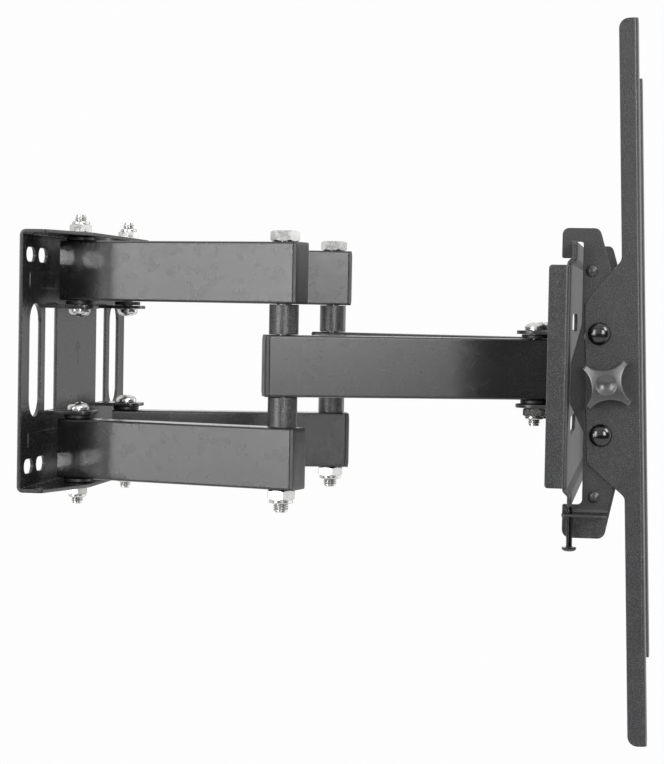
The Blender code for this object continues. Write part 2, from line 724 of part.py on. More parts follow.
def knob_outline(steps=5):
    """Four narrow tips joined by hollow sides, as (y, z) from the knob's axis."""
    quarter = math.pi / 2
    half_tip = KNOB_TIP_WIDTH / 2
    outline = []
    for index in range(4):
        turn = Matrix.Rotation(index * quarter + math.pi / 4 + KNOB_TURN, 2)
        next_turn = Matrix.Rotation((index + 1) * quarter + math.pi / 4 + KNOB_TURN, 2)
        start = turn @ Vector((KNOB_TIP, half_tip))
        finish = next_turn @ Vector((KNOB_TIP, -half_tip))
        chord = (finish - start).length / 2
        middle = (start + finish) / 2
        sag = middle.length - KNOB_WAIST
        radius = (chord**2 + sag**2) / (2 * sag)
        outward = math.atan2(middle.y, middle.x)
        centre = middle.normalized() * (KNOB_WAIST + radius)
        swing = math.asin(chord / radius)
        outline += arc(centre, radius, outward + math.pi + swing, outward + math.pi - swing, steps)
    return outline


def along_x(mesh, side, at):
    """Turns a shape made upright so that its Z points out of the given side, and moves it to its place."""
    turn = Matrix.Rotation(side * math.pi / 2, 4, "Y")
    mesh.transform(Matrix.Translation(at) @ turn)
    return mesh


for side in (-1, 1):
    hand = side_name(side)

    def across(name, outline, near, far, place):
        """A flat outline standing between two distances from the middle, on this side."""
        return flat_piece(name, outline, *sorted((side * near, side * far)), place @ ACROSS_X)

    hook = add_object(
        hand + "_hook_plate",
        across("hook", rounded(hook_outline()), HOOK_INSIDE, HOOK_OUTSIDE, Matrix()),
        material=GREY_COAT,
    )
    tab_ends = sorted((side * (HOOK_OUTSIDE - MM), side * (HOOK_OUTSIDE + LOCK_TAB_OUT)))
    tab_back = LOCK_Y + 6 * MM
    tab_front = LIP_FRONT - LOCK_TAB_REACH
    lock_tab = box(
        "lock_tab", (tab_ends[0], tab_front, LOCK_TAB_Z - SHEET), (tab_ends[1], tab_back, LOCK_TAB_Z)
    )
    nut_at = (side * HOOK_INSIDE, TILT_Y, TILT_Z)
    weld_nut = cylinder("weld_nut", WELD_NUT[0] / math.sqrt(3), -WELD_NUT[1], 0.5 * MM, 6)
    combine(hook, "UNION", [lock_tab, along_x(weld_nut, side, nut_at)], hand + "_hook_plate_additions")
    hook_cuts = [along_x(cylinder("stud_hole", STUD + GAP, -12 * MM, 12 * MM), side, nut_at)]
    for level in (-1, 1):
        outline = arc_slot(
            guide_radius, tilt_middle + level * guide_angle, tilt_half, GUIDE_SHANK + GAP
        )
        hook_cuts.append(across("arc_slot", outline, HOOK_INSIDE - MM, HOOK_OUTSIDE + MM, at_tilt_axis))
    lock_x = side * (HOOK_OUTSIDE + LOCK_TAB_OUT / 2)
    low = LOCK_TAB_Z - 2 * SHEET
    hook_cuts.append(
        cylinder("lock_hole", LOCK_SHANK + GAP, low, LOCK_TAB_Z + MM, centre=(lock_x, LOCK_Y))
    )
    combine(hook, "DIFFERENCE", hook_cuts, hand + "_hook_plate_openings")

    tilt_axis = add_axis(hand + "_tilt_axis", (0, TILT_Y, TILT_Z), (REST_TILT, 0, 0))
    front = -TILT_BEHIND_SCREEN
    inner_x, outer_x = side * (RAIL_X - RAIL_WIDTH / 2), side * EAR_OUTSIDE
    rail_path = [(inner_x, front + RAIL_DEPTH, 0), (inner_x, front, RAIL_BEND)]
    rail_path += [(outer_x, front, RAIL_BEND), (outer_x, front + EAR_DEPTH + MM, 0)]
    rail = bent_sheet(
        hand + "_screen_rail",
        rounded(rail_path, closed=False),
        -RAIL_HEIGHT / 2 - MM,
        RAIL_HEIGHT / 2 + MM,
        RAIL_SHEET,
        Matrix(),
        inside=side,
    )
    rail.data.materials.append(GREY_COAT)
    rail.parent = tilt_axis
    shape = across("rail_shape", rounded(rail_outline()), abs(inner_x) - MM, EAR_OUTSIDE + MM, Matrix())
    combine(rail, "INTERSECT", [shape], hand + "_screen_rail_shape")
    rail_cuts = [along_x(cylinder("stud_hole", STUD + GAP, -5 * MM, 5 * MM), side, (outer_x, 0, 0))]
    for level in (-1, 1):
        at = (outer_x, GUIDE_BEHIND_TILT, level * GUIDE_FROM_TILT)
        rail_cuts.append(along_x(cylinder("guide_hole", GUIDE_SHANK + GAP, -5 * MM, 5 * MM), side, at))
        for row in VESA_ROWS:
            outline = slot_outline(side * RAIL_X, level * row, *VESA_SLOT)
            depths = (-front - RAIL_SHEET - MM, -front + MM)
            rail_cuts.append(flat_piece("vesa_slot", outline, *depths, ACROSS_Y))
    combine(rail, "DIFFERENCE", rail_cuts, hand + "_screen_rail_openings")

    collar_radius, collar_length = KNOB_COLLAR
    knob_low = EAR_OUTSIDE + GAP + collar_length
    star = across("star", knob_outline(), knob_low, knob_low + KNOB_THICKNESS, Matrix())
    knob = add_object(hand + "_tilt_knob", star, material=KNOB_PLASTIC, parent=tilt_axis)
    core = []
    for radius, low, high in (
        (collar_radius, EAR_OUTSIDE + GAP, knob_low + MM),
        (STUD, HOOK_INSIDE - WELD_NUT[1] - 3 * MM, knob_low + MM),
    ):
        core.append(along_x(cylinder("core", radius, low, high), side, (0, 0, 0)))
    combine(knob, "UNION", core[:1], hand + "_tilt_knob_collar")
    combine(knob, "UNION", core[1:], hand + "_tilt_knob_stud")

    for level in (1, -1):
        head_radius, head_height = GUIDE_HEAD
        tail_radius, tail_height = GUIDE_TAIL
        seat, shank_end = EAR_OUTSIDE + GAP, HOOK_INSIDE - GAP
        profile = [(0, seat + head_height), (head_radius * 0.6, seat + head_height * 0.82)]
        profile += [(head_radius, seat + head_height * 0.25), (head_radius, seat)]
        profile += [(GUIDE_SHANK, seat), (GUIDE_SHANK, shank_end), (tail_radius, shank_end)]
        profile += [(tail_radius, shank_end - tail_height), (0, shank_end - tail_height)]
        name = f"{hand}_{level_name(level)}_guide_screw"
        guide = turned(name, profile, material=BLACK_SCREW, parent=tilt_axis)
        guide.location = (0, GUIDE_BEHIND_TILT, level * GUIDE_FROM_TILT)
        guide.rotation_euler.y = side * math.pi / 2

    lock_radius, lock_height = LOCK_HEAD
    tip = -LIP_BOTTOM - GAP
    seat = -LOCK_DROP
    profile = [(0, tip), (LOCK_SHANK, tip), (LOCK_SHANK, seat), (lock_radius, seat)]
    profile += [(lock_radius * 0.75, seat - lock_height * 0.8), (0, seat - lock_height)]
    lock = turned(hand + "_lock_screw", profile, material=ZINC)
    lock.location = (lock_x, LOCK_Y, 0)

for piece in mount.objects:
    if piece.type == "MESH":
        piece.data.set_sharp_from_angle(angle=math.radians(30))
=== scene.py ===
"""Full motion wall mount for a television: the finished look of each piece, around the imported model."""

import json
import math

import bmesh
import bpy
from mathutils import Matrix, Vector


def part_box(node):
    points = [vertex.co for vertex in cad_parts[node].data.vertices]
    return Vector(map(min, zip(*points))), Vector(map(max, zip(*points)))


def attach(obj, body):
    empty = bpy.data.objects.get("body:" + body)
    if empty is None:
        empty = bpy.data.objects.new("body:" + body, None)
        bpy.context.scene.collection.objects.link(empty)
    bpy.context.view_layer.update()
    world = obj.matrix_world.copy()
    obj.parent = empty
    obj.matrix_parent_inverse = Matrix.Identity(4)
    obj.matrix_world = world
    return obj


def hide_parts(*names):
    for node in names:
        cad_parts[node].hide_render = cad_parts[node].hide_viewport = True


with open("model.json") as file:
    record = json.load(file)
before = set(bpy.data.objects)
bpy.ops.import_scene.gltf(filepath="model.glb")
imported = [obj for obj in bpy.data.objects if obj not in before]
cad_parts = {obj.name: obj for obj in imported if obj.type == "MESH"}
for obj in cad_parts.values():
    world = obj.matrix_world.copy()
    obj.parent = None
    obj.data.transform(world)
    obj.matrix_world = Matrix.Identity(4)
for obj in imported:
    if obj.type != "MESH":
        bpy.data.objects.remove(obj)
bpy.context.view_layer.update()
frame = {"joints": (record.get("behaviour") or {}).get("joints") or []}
pivot_at = {joint["name"]: Vector(joint["pos_m"]) for joint in frame["joints"] if "pos_m" in joint}
MM = 0.001


# Wall plate
# A shallow channel folded from 2.4 mm mild steel. Its four tabs are cut on three sides and bent forward
# out of the two windows, and the whole plate is powder coated black after bending.

plate_low, plate_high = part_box("wall_plate")
plate_sheet = 2.4 * MM
plate_bend = 2.8 * MM
plate_half_width = plate_high.x
plate_half_height = plate_high.z
flange_full = -plate_low.y
flange_at_end = 17 * MM
flange_shoulder = 75 * MM
tab_width = 25 * MM
tab_bend = 2.6 * MM
window_half = (13.5 * MM, 34.5 * MM)
long_slot = (97 * MM, 25 * MM, 75 * MM)
short_slot = (20 * MM, 9.5 * MM)
short_slot_at = ((108 * MM, 69.5 * MM), (82 * MM, 69.5 * MM))


def linear(hex_colour):
    """An sRGB hex colour as linear RGBA."""
    channels = [int(hex_colour[place:place + 2], 16) / 255 for place in (1, 3, 5)]
    bright = [c / 12.92 if c <= 0.04045 else ((c + 0.055) / 1.055) ** 2.4 for c in channels]
    return (*bright, 1)


def add_node(tree, kind, inputs, **settings):
    """Adds a node, sets it up, and gives each input a value or links it to another node's output."""
    node = tree.nodes.new(kind)
    for name, value in settings.items():
        setattr(node, name, value)
    for name, value in inputs.items():
        if isinstance(value, bpy.types.NodeSocket):
            tree.links.new(value, node.inputs[name])
        else:
            node.inputs[name].default_value = value
    return node


def powder_coat(name, colour, fleck, fleck_size, roughness, peel):
    """Polyester powder baked on steel: tiny flecks, an orange peel skin and a soft uneven sheen."""
    material = bpy.data.materials.new(name)
    material.use_nodes = True
    tree = material.node_tree
    shader = tree.nodes["Principled BSDF"]
    place = add_node(tree, "ShaderNodeTexCoord", {}).outputs["Object"]
    flecks = add_node(
        tree, "ShaderNodeTexNoise", {"Vector": place, "Scale": 1 / fleck_size, "Detail": 2, "Roughness": 0.65}
    )
    spread = add_node(
        tree,
        "ShaderNodeMapRange",
        {"Value": flecks.outputs["Fac"], "From Min": 0.44, "From Max": 0.66},
        interpolation_type="SMOOTHSTEP",
    )
    tint = add_node(
        tree,
        "ShaderNodeMix",
        {"Factor": spread.outputs["Result"], "A": linear(colour), "B": linear(fleck)},
        data_type="RGBA",
    )
    tree.links.new(tint.outputs["Result"], shader.inputs["Base Color"])
    cloud = add_node(tree, "ShaderNodeTexNoise", {"Vector": place, "Scale": 1 / (9 * MM), "Detail": 3})
    sheen = add_node(
        tree,
        "ShaderNodeMapRange",
        {
            "Value": cloud.outputs["Fac"],
            "From Min": 0.3,
            "From Max": 0.7,
            "To Min": roughness - 0.03,
            "To Max": roughness + 0.03,
        },
    )
    tree.links.new(sheen.outputs["Result"], shader.inputs["Roughness"])
    skin = add_node(
        tree, "ShaderNodeTexNoise", {"Vector": place, "Scale": 1 / (0.6 * MM), "Detail": 2, "Roughness": 0.5}
    )
    bump = add_node(
        tree, "ShaderNodeBump", {"Height": skin.outputs["Fac"], "Strength": 1.0, "Distance": peel}
    )
    tree.links.new(bump.outputs["Normal"], shader.inputs["Normal"])
    return material


black_powder_coat = powder_coat("black powder coat", "#060606", "#202021", 0.6 * MM, 0.26, 0.02 * MM)


def arc(centre, radius, start, end, steps=10):
    """Points round a centre, with angles in radians."""
    turn = (end - start) / steps
    angles = [start + turn * index for index in range(steps + 1)]
    return [(centre[0] + radius * math.cos(a), centre[1] + radius * math.sin(a)) for a in angles]


def rounded(corners, steps=6):
    """A closed outline from corners given as (x, y, radius)."""
    outline = []
    for index, (x, y, radius) in enumerate(corners):
        if radius == 0:
            outline.append((x, y))
            continue
        before, after = corners[index - 1], corners[(index + 1) % len(corners)]
        to_before = math.atan2(before[1] - y, before[0] - x)
        to_after = math.atan2(after[1] - y, after[0] - x)
        opening = (to_after - to_before + math.pi) % (2 * math.pi) - math.pi
        half = abs(opening) / 2
        middle = to_before + opening / 2
        away = radius / math.sin(half)
        centre = (x + away * math.cos(middle), y + away * math.sin(middle))
        sweep = math.copysign(math.pi - 2 * half, -opening)
        start = middle + math.pi - sweep / 2
        outline += arc(centre, radius, start, start + sweep, steps)
    return outline


def slot_hole(x, y, width, height):
    """A punched slot with round ends, long either way."""
    radius = min(width, height) / 2
    reach = abs(width - height) / 2
    if width > height:
        right = arc((x + reach, y), radius, -math.pi / 2, math.pi / 2)
        return right + arc((x - reach, y), radius, math.pi / 2, math.pi * 1.5)
    top = arc((x, y + reach), radius, 0, math.pi)
    return top + arc((x, y - reach), radius, math.pi, math.pi * 2)


def cut_sheet(outline, holes, thickness, edge=0.3 * MM):
    """Sheet cut flat in the XY plane, half its thickness each side of it, with its cut edges eased."""
    form = bmesh.new()
    for loop in (outline, *holes):
        corners = [form.verts.new((x, y, -thickness / 2)) for x, y in loop]
        for pair in zip(corners, corners[1:] + corners[:1]):
            form.edges.new(pair)
    bmesh.ops.triangle_fill(form, use_beauty=True, use_dissolve=False, edges=form.edges[:])
    bmesh.ops.recalc_face_normals(form, faces=form.faces[:])
    if form.faces[0].normal.z > 0:
        bmesh.ops.reverse_faces(form, faces=form.faces[:])
    bmesh.ops.solidify(form, geom=form.faces[:], thickness=thickness)
    bmesh.ops.recalc_face_normals(form, faces=form.faces[:])
    rims = [
        rim
        for rim in form.edges
        if rim.calc_face_angle(0) > math.radians(60) and abs(rim.verts[0].co.z - rim.verts[1].co.z) < edge
    ]
    bmesh.ops.bevel(
        form,
        geom=rims,
        offset=edge,
        offset_type="OFFSET",
        affect="EDGES",
        segments=2,
        profile=0.5,
        material=-1,
    )
    return form


def bend(form, start, radius, angle, along=0, side=1, only=None, steps=6):
    """Bends what lies past a line across the sheet, up or down. The radius is to the sheet's middle."""
    length = radius * abs(angle)
    out = Vector((side, 0, 0)) if along == 0 else Vector((0, side, 0))
    for index in range(steps + 1):
        geometry = form.verts[:] + form.edges[:] + form.faces[:]
        at = out * (start + length * index / steps)
        bmesh.ops.bisect_plane(form, geom=geometry, dist=1e-7, plane_co=at, plane_no=out)
    sign = math.copysign(1, angle)
    for vert in form.verts:
        past = vert.co[along] * side - start
        if past <= 0 or (only and not only(vert.co)):
            continue
        turn = min(past / length, 1) * abs(angle)
        rest = max(past - length, 0)
        depth = vert.co.z
        reach = radius * math.sin(turn) + rest * math.cos(turn) - sign * depth * math.sin(turn)
        vert.co[along] = side * (start + reach)
        vert.co.z = sign * (radius * (1 - math.cos(turn)) + rest * math.sin(turn)) + depth * math.cos(turn)


def finish(name, form, material, body, replaces=(), place=None):
    """Turns a bmesh into a finished piece that rides on a body, with its place in its mesh."""
    if place:
        bmesh.ops.transform(form, matrix=place, verts=form.verts)
        if place.determinant() < 0:
            bmesh.ops.reverse_faces(form, faces=form.faces[:])
    mesh = bpy.data.meshes.new(name)
    form.to_mesh(mesh)
    form.free()
    mesh.materials.append(material)
    for face in mesh.polygons:
        face.use_smooth = True
    mesh.set_sharp_from_angle(angle=math.radians(32))
    piece = bpy.data.objects.new(name, mesh)
    bpy.context.scene.collection.objects.link(piece)
    even = piece.modifiers.new("flat faces stay flat", "WEIGHTED_NORMAL")
    even.keep_sharp = True
    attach(piece, body)
    if replaces:
        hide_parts(*replaces)
    return piece


def join(form, other):
    """Adds another bmesh to the first."""
    mesh = bpy.data.meshes.new("joined")
    other.to_mesh(mesh)
    other.free()
    form.from_mesh(mesh)
    bpy.data.meshes.remove(mesh)


# Drawn flat with X up the wall and Y along it, then stood up with its back on the wall
stand_up = Matrix(((0, 1, 0, 0), (0, 0, 1, -plate_sheet / 2), (1, 0, 0, 0), (0, 0, 0, 1)))
bend_start = plate_half_height - plate_sheet / 2 - plate_bend


def unfolded(depth):
    """How far up the flat sheet a point at this depth on a flange lies."""
    return bend_start + plate_bend * (math.pi / 2 - 1) + depth - plate_sheet / 2


corners = []
for side in (1, -1):
    quarter = [(side * unfolded(flange_full), flange_shoulder, 8 * MM)]
    quarter.append((side * unfolded(flange_at_end), plate_half_width, 3 * MM))
    if side > 0:
        corners += [(x, -y, radius) for x, y, radius in reversed(quarter)] + quarter
    else:
        corners += list(reversed(quarter)) + [(x, -y, radius) for x, y, radius in quarter]
holes = []
for side in (-1, 1):
    holes.append(slot_hole(0, side * long_slot[0], long_slot[2], long_slot[1]))
    for level in (-1, 1):
        for across, up in short_slot_at:
            holes.append(slot_hole(level * up, side * across, short_slot[1], short_slot[0]))
    centre = side * abs(pivot_at["left_wall_pivot"].x)
    half_x, half_z = window_half
    window = [(half_z, centre - half_x, 0), (half_z, centre + half_x, 0)]
    window += [(-half_z, centre + half_x, 0), (-half_z, centre - half_x, 0)]
    holes.append(rounded(window))
plate = cut_sheet(rounded(corners), holes, plate_sheet)
for side in (-1, 1):
    bend(plate, bend_start, plate_bend, math.radians(-90), side=side)

# Tabs, a hair thinner than the sheet where they run into it
for side in (-1, 1):
    centre = side * abs(pivot_at["left_wall_pivot"].x)
    for level in (-1, 1):
        root = half_z + plate_sheet / 2 + tab_bend
        reach = root + tab_bend * (math.pi / 2 - 1) + flange_full - plate_sheet / 2
        tab = [(root - 5 * MM, -tab_width / 2, 0), (root - 5 * MM, tab_width / 2, 0)]
        tab += [(reach, tab_width / 2, 8 * MM), (reach, -tab_width / 2, 8 * MM)]
        form = cut_sheet(rounded(tab), [], plate_sheet - 0.06 * MM)
        bend(form, root, tab_bend, math.radians(-90))
        flip = Matrix.Diagonal((-1, 1, 1, 1))
        move = Matrix.Translation((root * 2, 0, 0))
        bmesh.ops.transform(form, matrix=move @ flip, verts=form.verts)
        bmesh.ops.reverse_faces(form, faces=form.faces[:])
        place = Matrix.Translation((0, centre, 0)) @ Matrix.Diagonal((level, 1, 1, 1))
        bmesh.ops.transform(form, matrix=place, verts=form.verts)
        if level < 0:
            bmesh.ops.reverse_faces(form, faces=form.faces[:])
        join(plate, form)
finish(
    "wall_plate_folded", plate, black_powder_coat, "wall_plate", ["wall_plate"], stand_up
)


# Arrow and form marks on the wall plate
# Pressed lightly into the web: an arrow that says which way up the plate goes, and a shallow raised
# panel behind each arm that stiffens the web.

arrow_low, arrow_high = -4.4 * MM, 12 * MM
arrow_x = 2 * MM
arrow = [(arrow_high, 0), (arrow_high - 7 * MM, -6 * MM), (arrow_high - 6 * MM, -1.4 * MM)]
arrow += [(arrow_low, -1.2 * MM), (arrow_low, 1.2 * MM)]
arrow += [(arrow_high - 6 * MM, 1.4 * MM), (arrow_high - 7 * MM, 6 * MM)]
arrow = cut_sheet(arrow, [], 0.1 * MM, edge=0.02 * MM)
web_front = Matrix.Translation((arrow_x, -plate_sheet - 0.02 * MM, 0)) @ stand_up.to_3x3().to_4x4()
engraved_black = powder_coat("bare arrow mark", "#060606", "#0b0b0b", 0.8 * MM, 0.5, 0.01 * MM)
finish("wall_plate_arrow", arrow, engraved_black, "wall_plate", place=web_front)

panel_centre = (80 * MM, 53 * MM)
panel_size = (62 * MM, 11 * MM)
panel_height = 0.5 * MM
panels = bmesh.new()
for side in (-1, 1):
    for level in (-1, 1):
        half_x, half_z = panel_size[0] / 2, panel_size[1] / 2
        corners = [(half_z, half_x, 2 * MM), (half_z, -half_x, 2 * MM)]
        corners += [(-half_z, -half_x, 2 * MM), (-half_z, half_x, 2 * MM)]
        panel = cut_sheet(rounded(corners), [], 2 * panel_height, edge=0.45 * MM)
        at = Matrix.Translation((level * panel_centre[1], side * panel_centre[0], 0))
        bmesh.ops.transform(panel, matrix=at, verts=panel.verts)
        join(panels, panel)
web_front = Matrix.Translation((0, -plate_sheet, 0)) @ stand_up.to_3x3().to_4x4()
finish("wall_plate_panels", panels, black_powder_coat, "wall_plate", place=web_front)


# Wall arms
# Two cold rolled rectangular tubes a side, 20 by 40 mm with 2 mm walls, sawn to length and coated in the
# same black powder. They turn on the wall bolts and carry the elbow bolt between them.

tube_width, tube_height, tube_wall = 20 * MM, 40 * MM, 2 * MM
tube_corner = 1.6 * MM
past_pivot = 10 * MM
gap = 0.3 * MM


def rectangle(width, height, radius):
    """Corners of a rectangle about the origin, each with its radius."""
    half_x, half_y = width / 2, height / 2
    return [
        (half_x, -half_y, radius),
        (half_x, half_y, radius),
        (-half_x, half_y, radius),
        (-half_x, -half_y, radius),
    ]


def arm_frame(start, end, height=0):
    """A frame at one pivot, with Y along the arm to the next pivot and Z up."""
    along = (end - start).normalized()
    turn = Matrix((along.cross(Vector((0, 0, 1))), along, (0, 0, 1))).transposed().to_4x4()
    return Matrix.Translation(start + Vector((0, 0, height))) @ turn


def make_tube(length):
    """A rectangular tube from behind its first pivot to past its second, along Y and centred on Z."""
    outside = rounded(rectangle(tube_width, tube_height, tube_corner))
    inside = rounded(rectangle(tube_width - 2 * tube_wall, tube_height - 2 * tube_wall, tube_corner / 2))
    tube = cut_sheet(outside, [inside], length + 2 * past_pivot, edge=0.2 * MM)
    lay = Matrix(((1, 0, 0, 0), (0, 0, -1, length / 2), (0, 1, 0, 0), (0, 0, 0, 1)))
    bmesh.ops.transform(tube, matrix=lay, verts=tube.verts)
    return tube


hands = {"left": -1, "right": 1}
heights = {"upper": 1, "lower": -1}
up_axis = Vector((0, 0, 1))
pivots = {}
for hand, side in hands.items():
    wall_pivot, elbow = pivot_at[hand + "_wall_pivot"], pivot_at[hand + "_elbow"]
    head_pivot = pivot_at["left_head_pivot"].copy()
    head_pivot.x = side * abs(head_pivot.x)
    pivots[hand] = (wall_pivot, elbow, head_pivot)
    for height, level in heights.items():
        node = f"{hand}_{height}_wall_arm"
        low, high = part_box(node)
        place = arm_frame(wall_pivot, elbow, (low.z + high.z) / 2)
        tube = make_tube((elbow - wall_pivot).length)
        finish(
            node + "_tube", tube, black_powder_coat, hand + "_wall_arms", [node], place
        )


# End caps
# Plugs moulded from black nylon and driven into the tube at the elbow. The face is as large as the tube,
# with a shallow slope all round, and takes a dull sheen from the mould.

cap_thickness = 3 * MM
cap_slope = (2.4 * MM, 0.9 * MM)
plug_depth = 3 * MM


def moulded(name, colour, roughness, grain, depth, drift=0.05):
    """Moulded plastic: one colour all through, with a fine spark eroded grain that breaks up its sheen."""
    material = bpy.data.materials.new(name)
    material.use_nodes = True
    tree = material.node_tree
    shader = tree.nodes["Principled BSDF"]
    shader.inputs["Base Color"].default_value = linear(colour)
    place = add_node(tree, "ShaderNodeTexCoord", {}).outputs["Object"]
    flow = add_node(tree, "ShaderNodeTexNoise", {"Vector": place, "Scale": 1 / (6 * MM), "Detail": 3})
    sheen = add_node(
        tree,
        "ShaderNodeMapRange",
        {
            "Value": flow.outputs["Fac"],
            "From Min": 0.3,
            "From Max": 0.7,
            "To Min": roughness - drift,
            "To Max": roughness + drift,
        },
    )
    tree.links.new(sheen.outputs["Result"], shader.inputs["Roughness"])
    erosion = add_node(tree, "ShaderNodeTexNoise", {"Vector": place, "Scale": 1 / grain, "Detail": 2})
    bump = add_node(
        tree, "ShaderNodeBump", {"Height": erosion.outputs["Fac"], "Strength": 1.0, "Distance": depth}
    )
    tree.links.new(bump.outputs["Normal"], shader.inputs["Normal"])
    return material


black_nylon = moulded("black nylon", "#101011", 0.45, 0.6 * MM, 0.01 * MM)


def make_cap():
    """A plug with its face pointing along Y from the origin, and its shank behind."""
    outline = rounded(rectangle(tube_width, tube_height, tube_corner))
    cap = cut_sheet(outline, [], cap_thickness, edge=0.2 * MM)
    cap.normal_update()
    flat = [face for face in cap.faces if face.normal.z > 0.999]
    bmesh.ops.dissolve_faces(cap, faces=flat)
    front = max(cap.faces, key=lambda face: face.calc_center_median().z)
    bmesh.ops.inset_region(cap, faces=[front], thickness=0.01 * MM)
    smaller = (1 - 2 * cap_slope[0] / tube_width, 1 - 2 * cap_slope[0] / tube_height, 1)
    bmesh.ops.scale(cap, vec=smaller, verts=front.verts[:])
    bmesh.ops.translate(cap, vec=(0, 0, cap_slope[1]), verts=front.verts[:])
    shank_size = (tube_width - 2 * tube_wall - 2 * gap, tube_height - 2 * tube_wall - 2 * gap)
    shank = cut_sheet(rounded(rectangle(*shank_size, tube_corner / 2)), [], plug_depth)
    bmesh.ops.translate(shank, vec=(0, 0, -(cap_thickness + plug_depth) / 2 + 0.1 * MM), verts=shank.verts)
    join(cap, shank)
    rim_thickness = cap_thickness - cap_slope[1]
    lay = Matrix(((1, 0, 0, 0), (0, 0, 1, gap + rim_thickness / 2), (0, -1, 0, 0), (0, 0, 0, 1)))
    bmesh.ops.scale(cap, vec=(1, 1, rim_thickness / cap_thickness), verts=cap.verts)
    bmesh.ops.transform(cap, matrix=lay, verts=cap.verts)
    return cap


for hand in hands:
    wall_pivot, elbow, head_pivot = pivots[hand]
    for height in heights:
        node = f"{hand}_{height}_wall_arm_cap"
        low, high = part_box(node)
        place = arm_frame(wall_pivot, elbow, (low.z + high.z) / 2)
        place = place @ Matrix.Translation((0, (elbow - wall_pivot).length + past_pivot, 0))
        finish(node + "_moulding", make_cap(), black_nylon, hand + "_wall_arms", [node], place)
    node = hand + "_front_arm_cap"
    place = arm_frame(elbow, head_pivot) @ Matrix.Rotation(math.pi, 4, "Z")
    place = place @ Matrix.Translation((0, past_pivot, 0))
    finish(node + "_moulding", make_cap(), black_nylon, hand + "_front_arm", [node], place)


# Front arms
# One tube of the same section on each side, from between the two wall arms to the head plate.

for hand in hands:
    wall_pivot, elbow, head_pivot = pivots[hand]
    node = hand + "_front_arm"
    tube = make_tube((head_pivot - elbow).length)
    place = arm_frame(elbow, head_pivot)
    finish(node + "_tube", tube, black_powder_coat, hand + "_front_arm", [node], place)


# Bushings
# Flat nylon washers, turned with eased rims, that keep steel from rubbing on steel at each pivot.


def turned(profile, steps=48):
    """A solid of revolution about Z from a profile of (radius, height)."""
    form = bmesh.new()
    points = [form.verts.new((radius, 0, height)) for radius, height in profile]
    for pair in zip(points, points[1:]):
        form.edges.new(pair)
    bmesh.ops.spin(
        form,
        geom=form.verts[:] + form.edges[:],
        axis=(0, 0, 1),
        cent=(0, 0, 0),
        dvec=(0, 0, 0),
        angle=math.radians(360),
        steps=steps,
        use_merge=True,
    )
    bmesh.ops.remove_doubles(form, verts=form.verts[:], dist=1e-6)
    bmesh.ops.recalc_face_normals(form, faces=form.faces[:])
    return form


def ring(hole, radius, height, ease):
    """A ring standing on the origin with every rim eased."""
    profile = [(hole, ease), (hole, height - ease), (hole + ease, height)]
    profile += arc((radius - ease, height - ease), ease, math.pi / 2, 0, 3)
    profile += arc((radius - ease, ease), ease, 0, -math.pi / 2, 3)
    profile += [(hole + ease, 0), (hole, ease)]
    return turned(profile)


def middle_and_ends(node):
    """Where a node on an upright axis stands: its middle in plan, its lowest and its highest point."""
    low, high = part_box(node)
    return (low.x + high.x) / 2, (low.y + high.y) / 2, low.z, high.z


bolt_radius, elbow_bolt_radius = 4 * MM, 5 * MM
bushing_radius = 9.3 * MM
for hand in hands:
    for height in heights:
        for part in ("outer_wall", "inner_wall", "head"):
            node = f"{hand}_{height}_{part}_bushing"
            x, y, low, high = middle_and_ends(node)
            washer = ring(bolt_radius + gap, bushing_radius, high - low, 0.5 * MM)
            body = "head" if part == "head" else "wall_plate"
            place = Matrix.Translation((x, y, low))
            finish(node + "_washer", washer, black_nylon, body, [node], place)


# Elbow spacers
# Thick walled steel sleeves, faced square and coated with the arms, that hold the front arm midway
# between the two wall arms.

spacer_radius = 9.6 * MM
# The same black powder as the arms, but its flecks are made much lighter. This paints in the light that the
# round sleeves catch, so it is a lit copy of the arms' coat and not a lighter coat.
sleeve_coat_with_painted_light = powder_coat("sleeve coat with painted light", "#0e0e0e", "#4a4a4b", 0.7 * MM, 0.36, 0.03 * MM)
for hand in hands:
    for height in heights:
        node = f"{hand}_{height}_elbow_spacer"
        x, y, low, high = middle_and_ends(node)
        sleeve = ring(elbow_bolt_radius + gap, spacer_radius, high - low, 0.4 * MM)
        place = Matrix.Translation((x, y, low))
        body = hand + "_wall_arms"
        finish(node + "_sleeve", sleeve, sleeve_coat_with_painted_light, body, [node], place)


# Wall and head bolts
# M8 pan head screws, cold headed with a cross recess and rolled threads, zinc plated and bright. Each
# passes up through a tab, the tube and a flange to a locking nut.

pan_radius, pan_height = 7.4 * MM, 5.2 * MM
thread_pitch = 1.25 * MM
thread_depth = 0.7 * MM


def plated(name, colour, roughness, drawn):
    """Bright plated steel: a metal mirror clouded by fine drawing marks and a faint uneven bloom."""
    material = bpy.data.materials.new(name)
    material.use_nodes = True
    tree = material.node_tree
    shader = tree.nodes["Principled BSDF"]
    shader.inputs["Metallic"].default_value = 1
    place = add_node(tree, "ShaderNodeTexCoord", {}).outputs["Object"]
    bloom = add_node(tree, "ShaderNodeTexNoise", {"Vector": place, "Scale": 1 / (3 * MM), "Detail": 4})
    tint = add_node(
        tree,
        "ShaderNodeMix",
        {"Factor": bloom.outputs["Fac"], "A": linear(colour), "B": linear("#c4c4c2")},
        data_type="RGBA",
    )
    tree.links.new(tint.outputs["Result"], shader.inputs["Base Color"])
    sheen = add_node(
        tree,
        "ShaderNodeMapRange",
        {
            "Value": bloom.outputs["Fac"],
            "From Min": 0.3,
            "From Max": 0.7,
            "To Min": roughness - 0.05,
            "To Max": roughness + 0.08,
        },
    )
    tree.links.new(sheen.outputs["Result"], shader.inputs["Roughness"])
    marks = add_node(tree, "ShaderNodeTexNoise", {"Vector": place, "Scale": 1 / drawn, "Detail": 2})
    bump = add_node(
        tree, "ShaderNodeBump", {"Height": marks.outputs["Fac"], "Strength": 1.0, "Distance": 0.006 * MM}
    )
    tree.links.new(bump.outputs["Normal"], shader.inputs["Normal"])
    return material


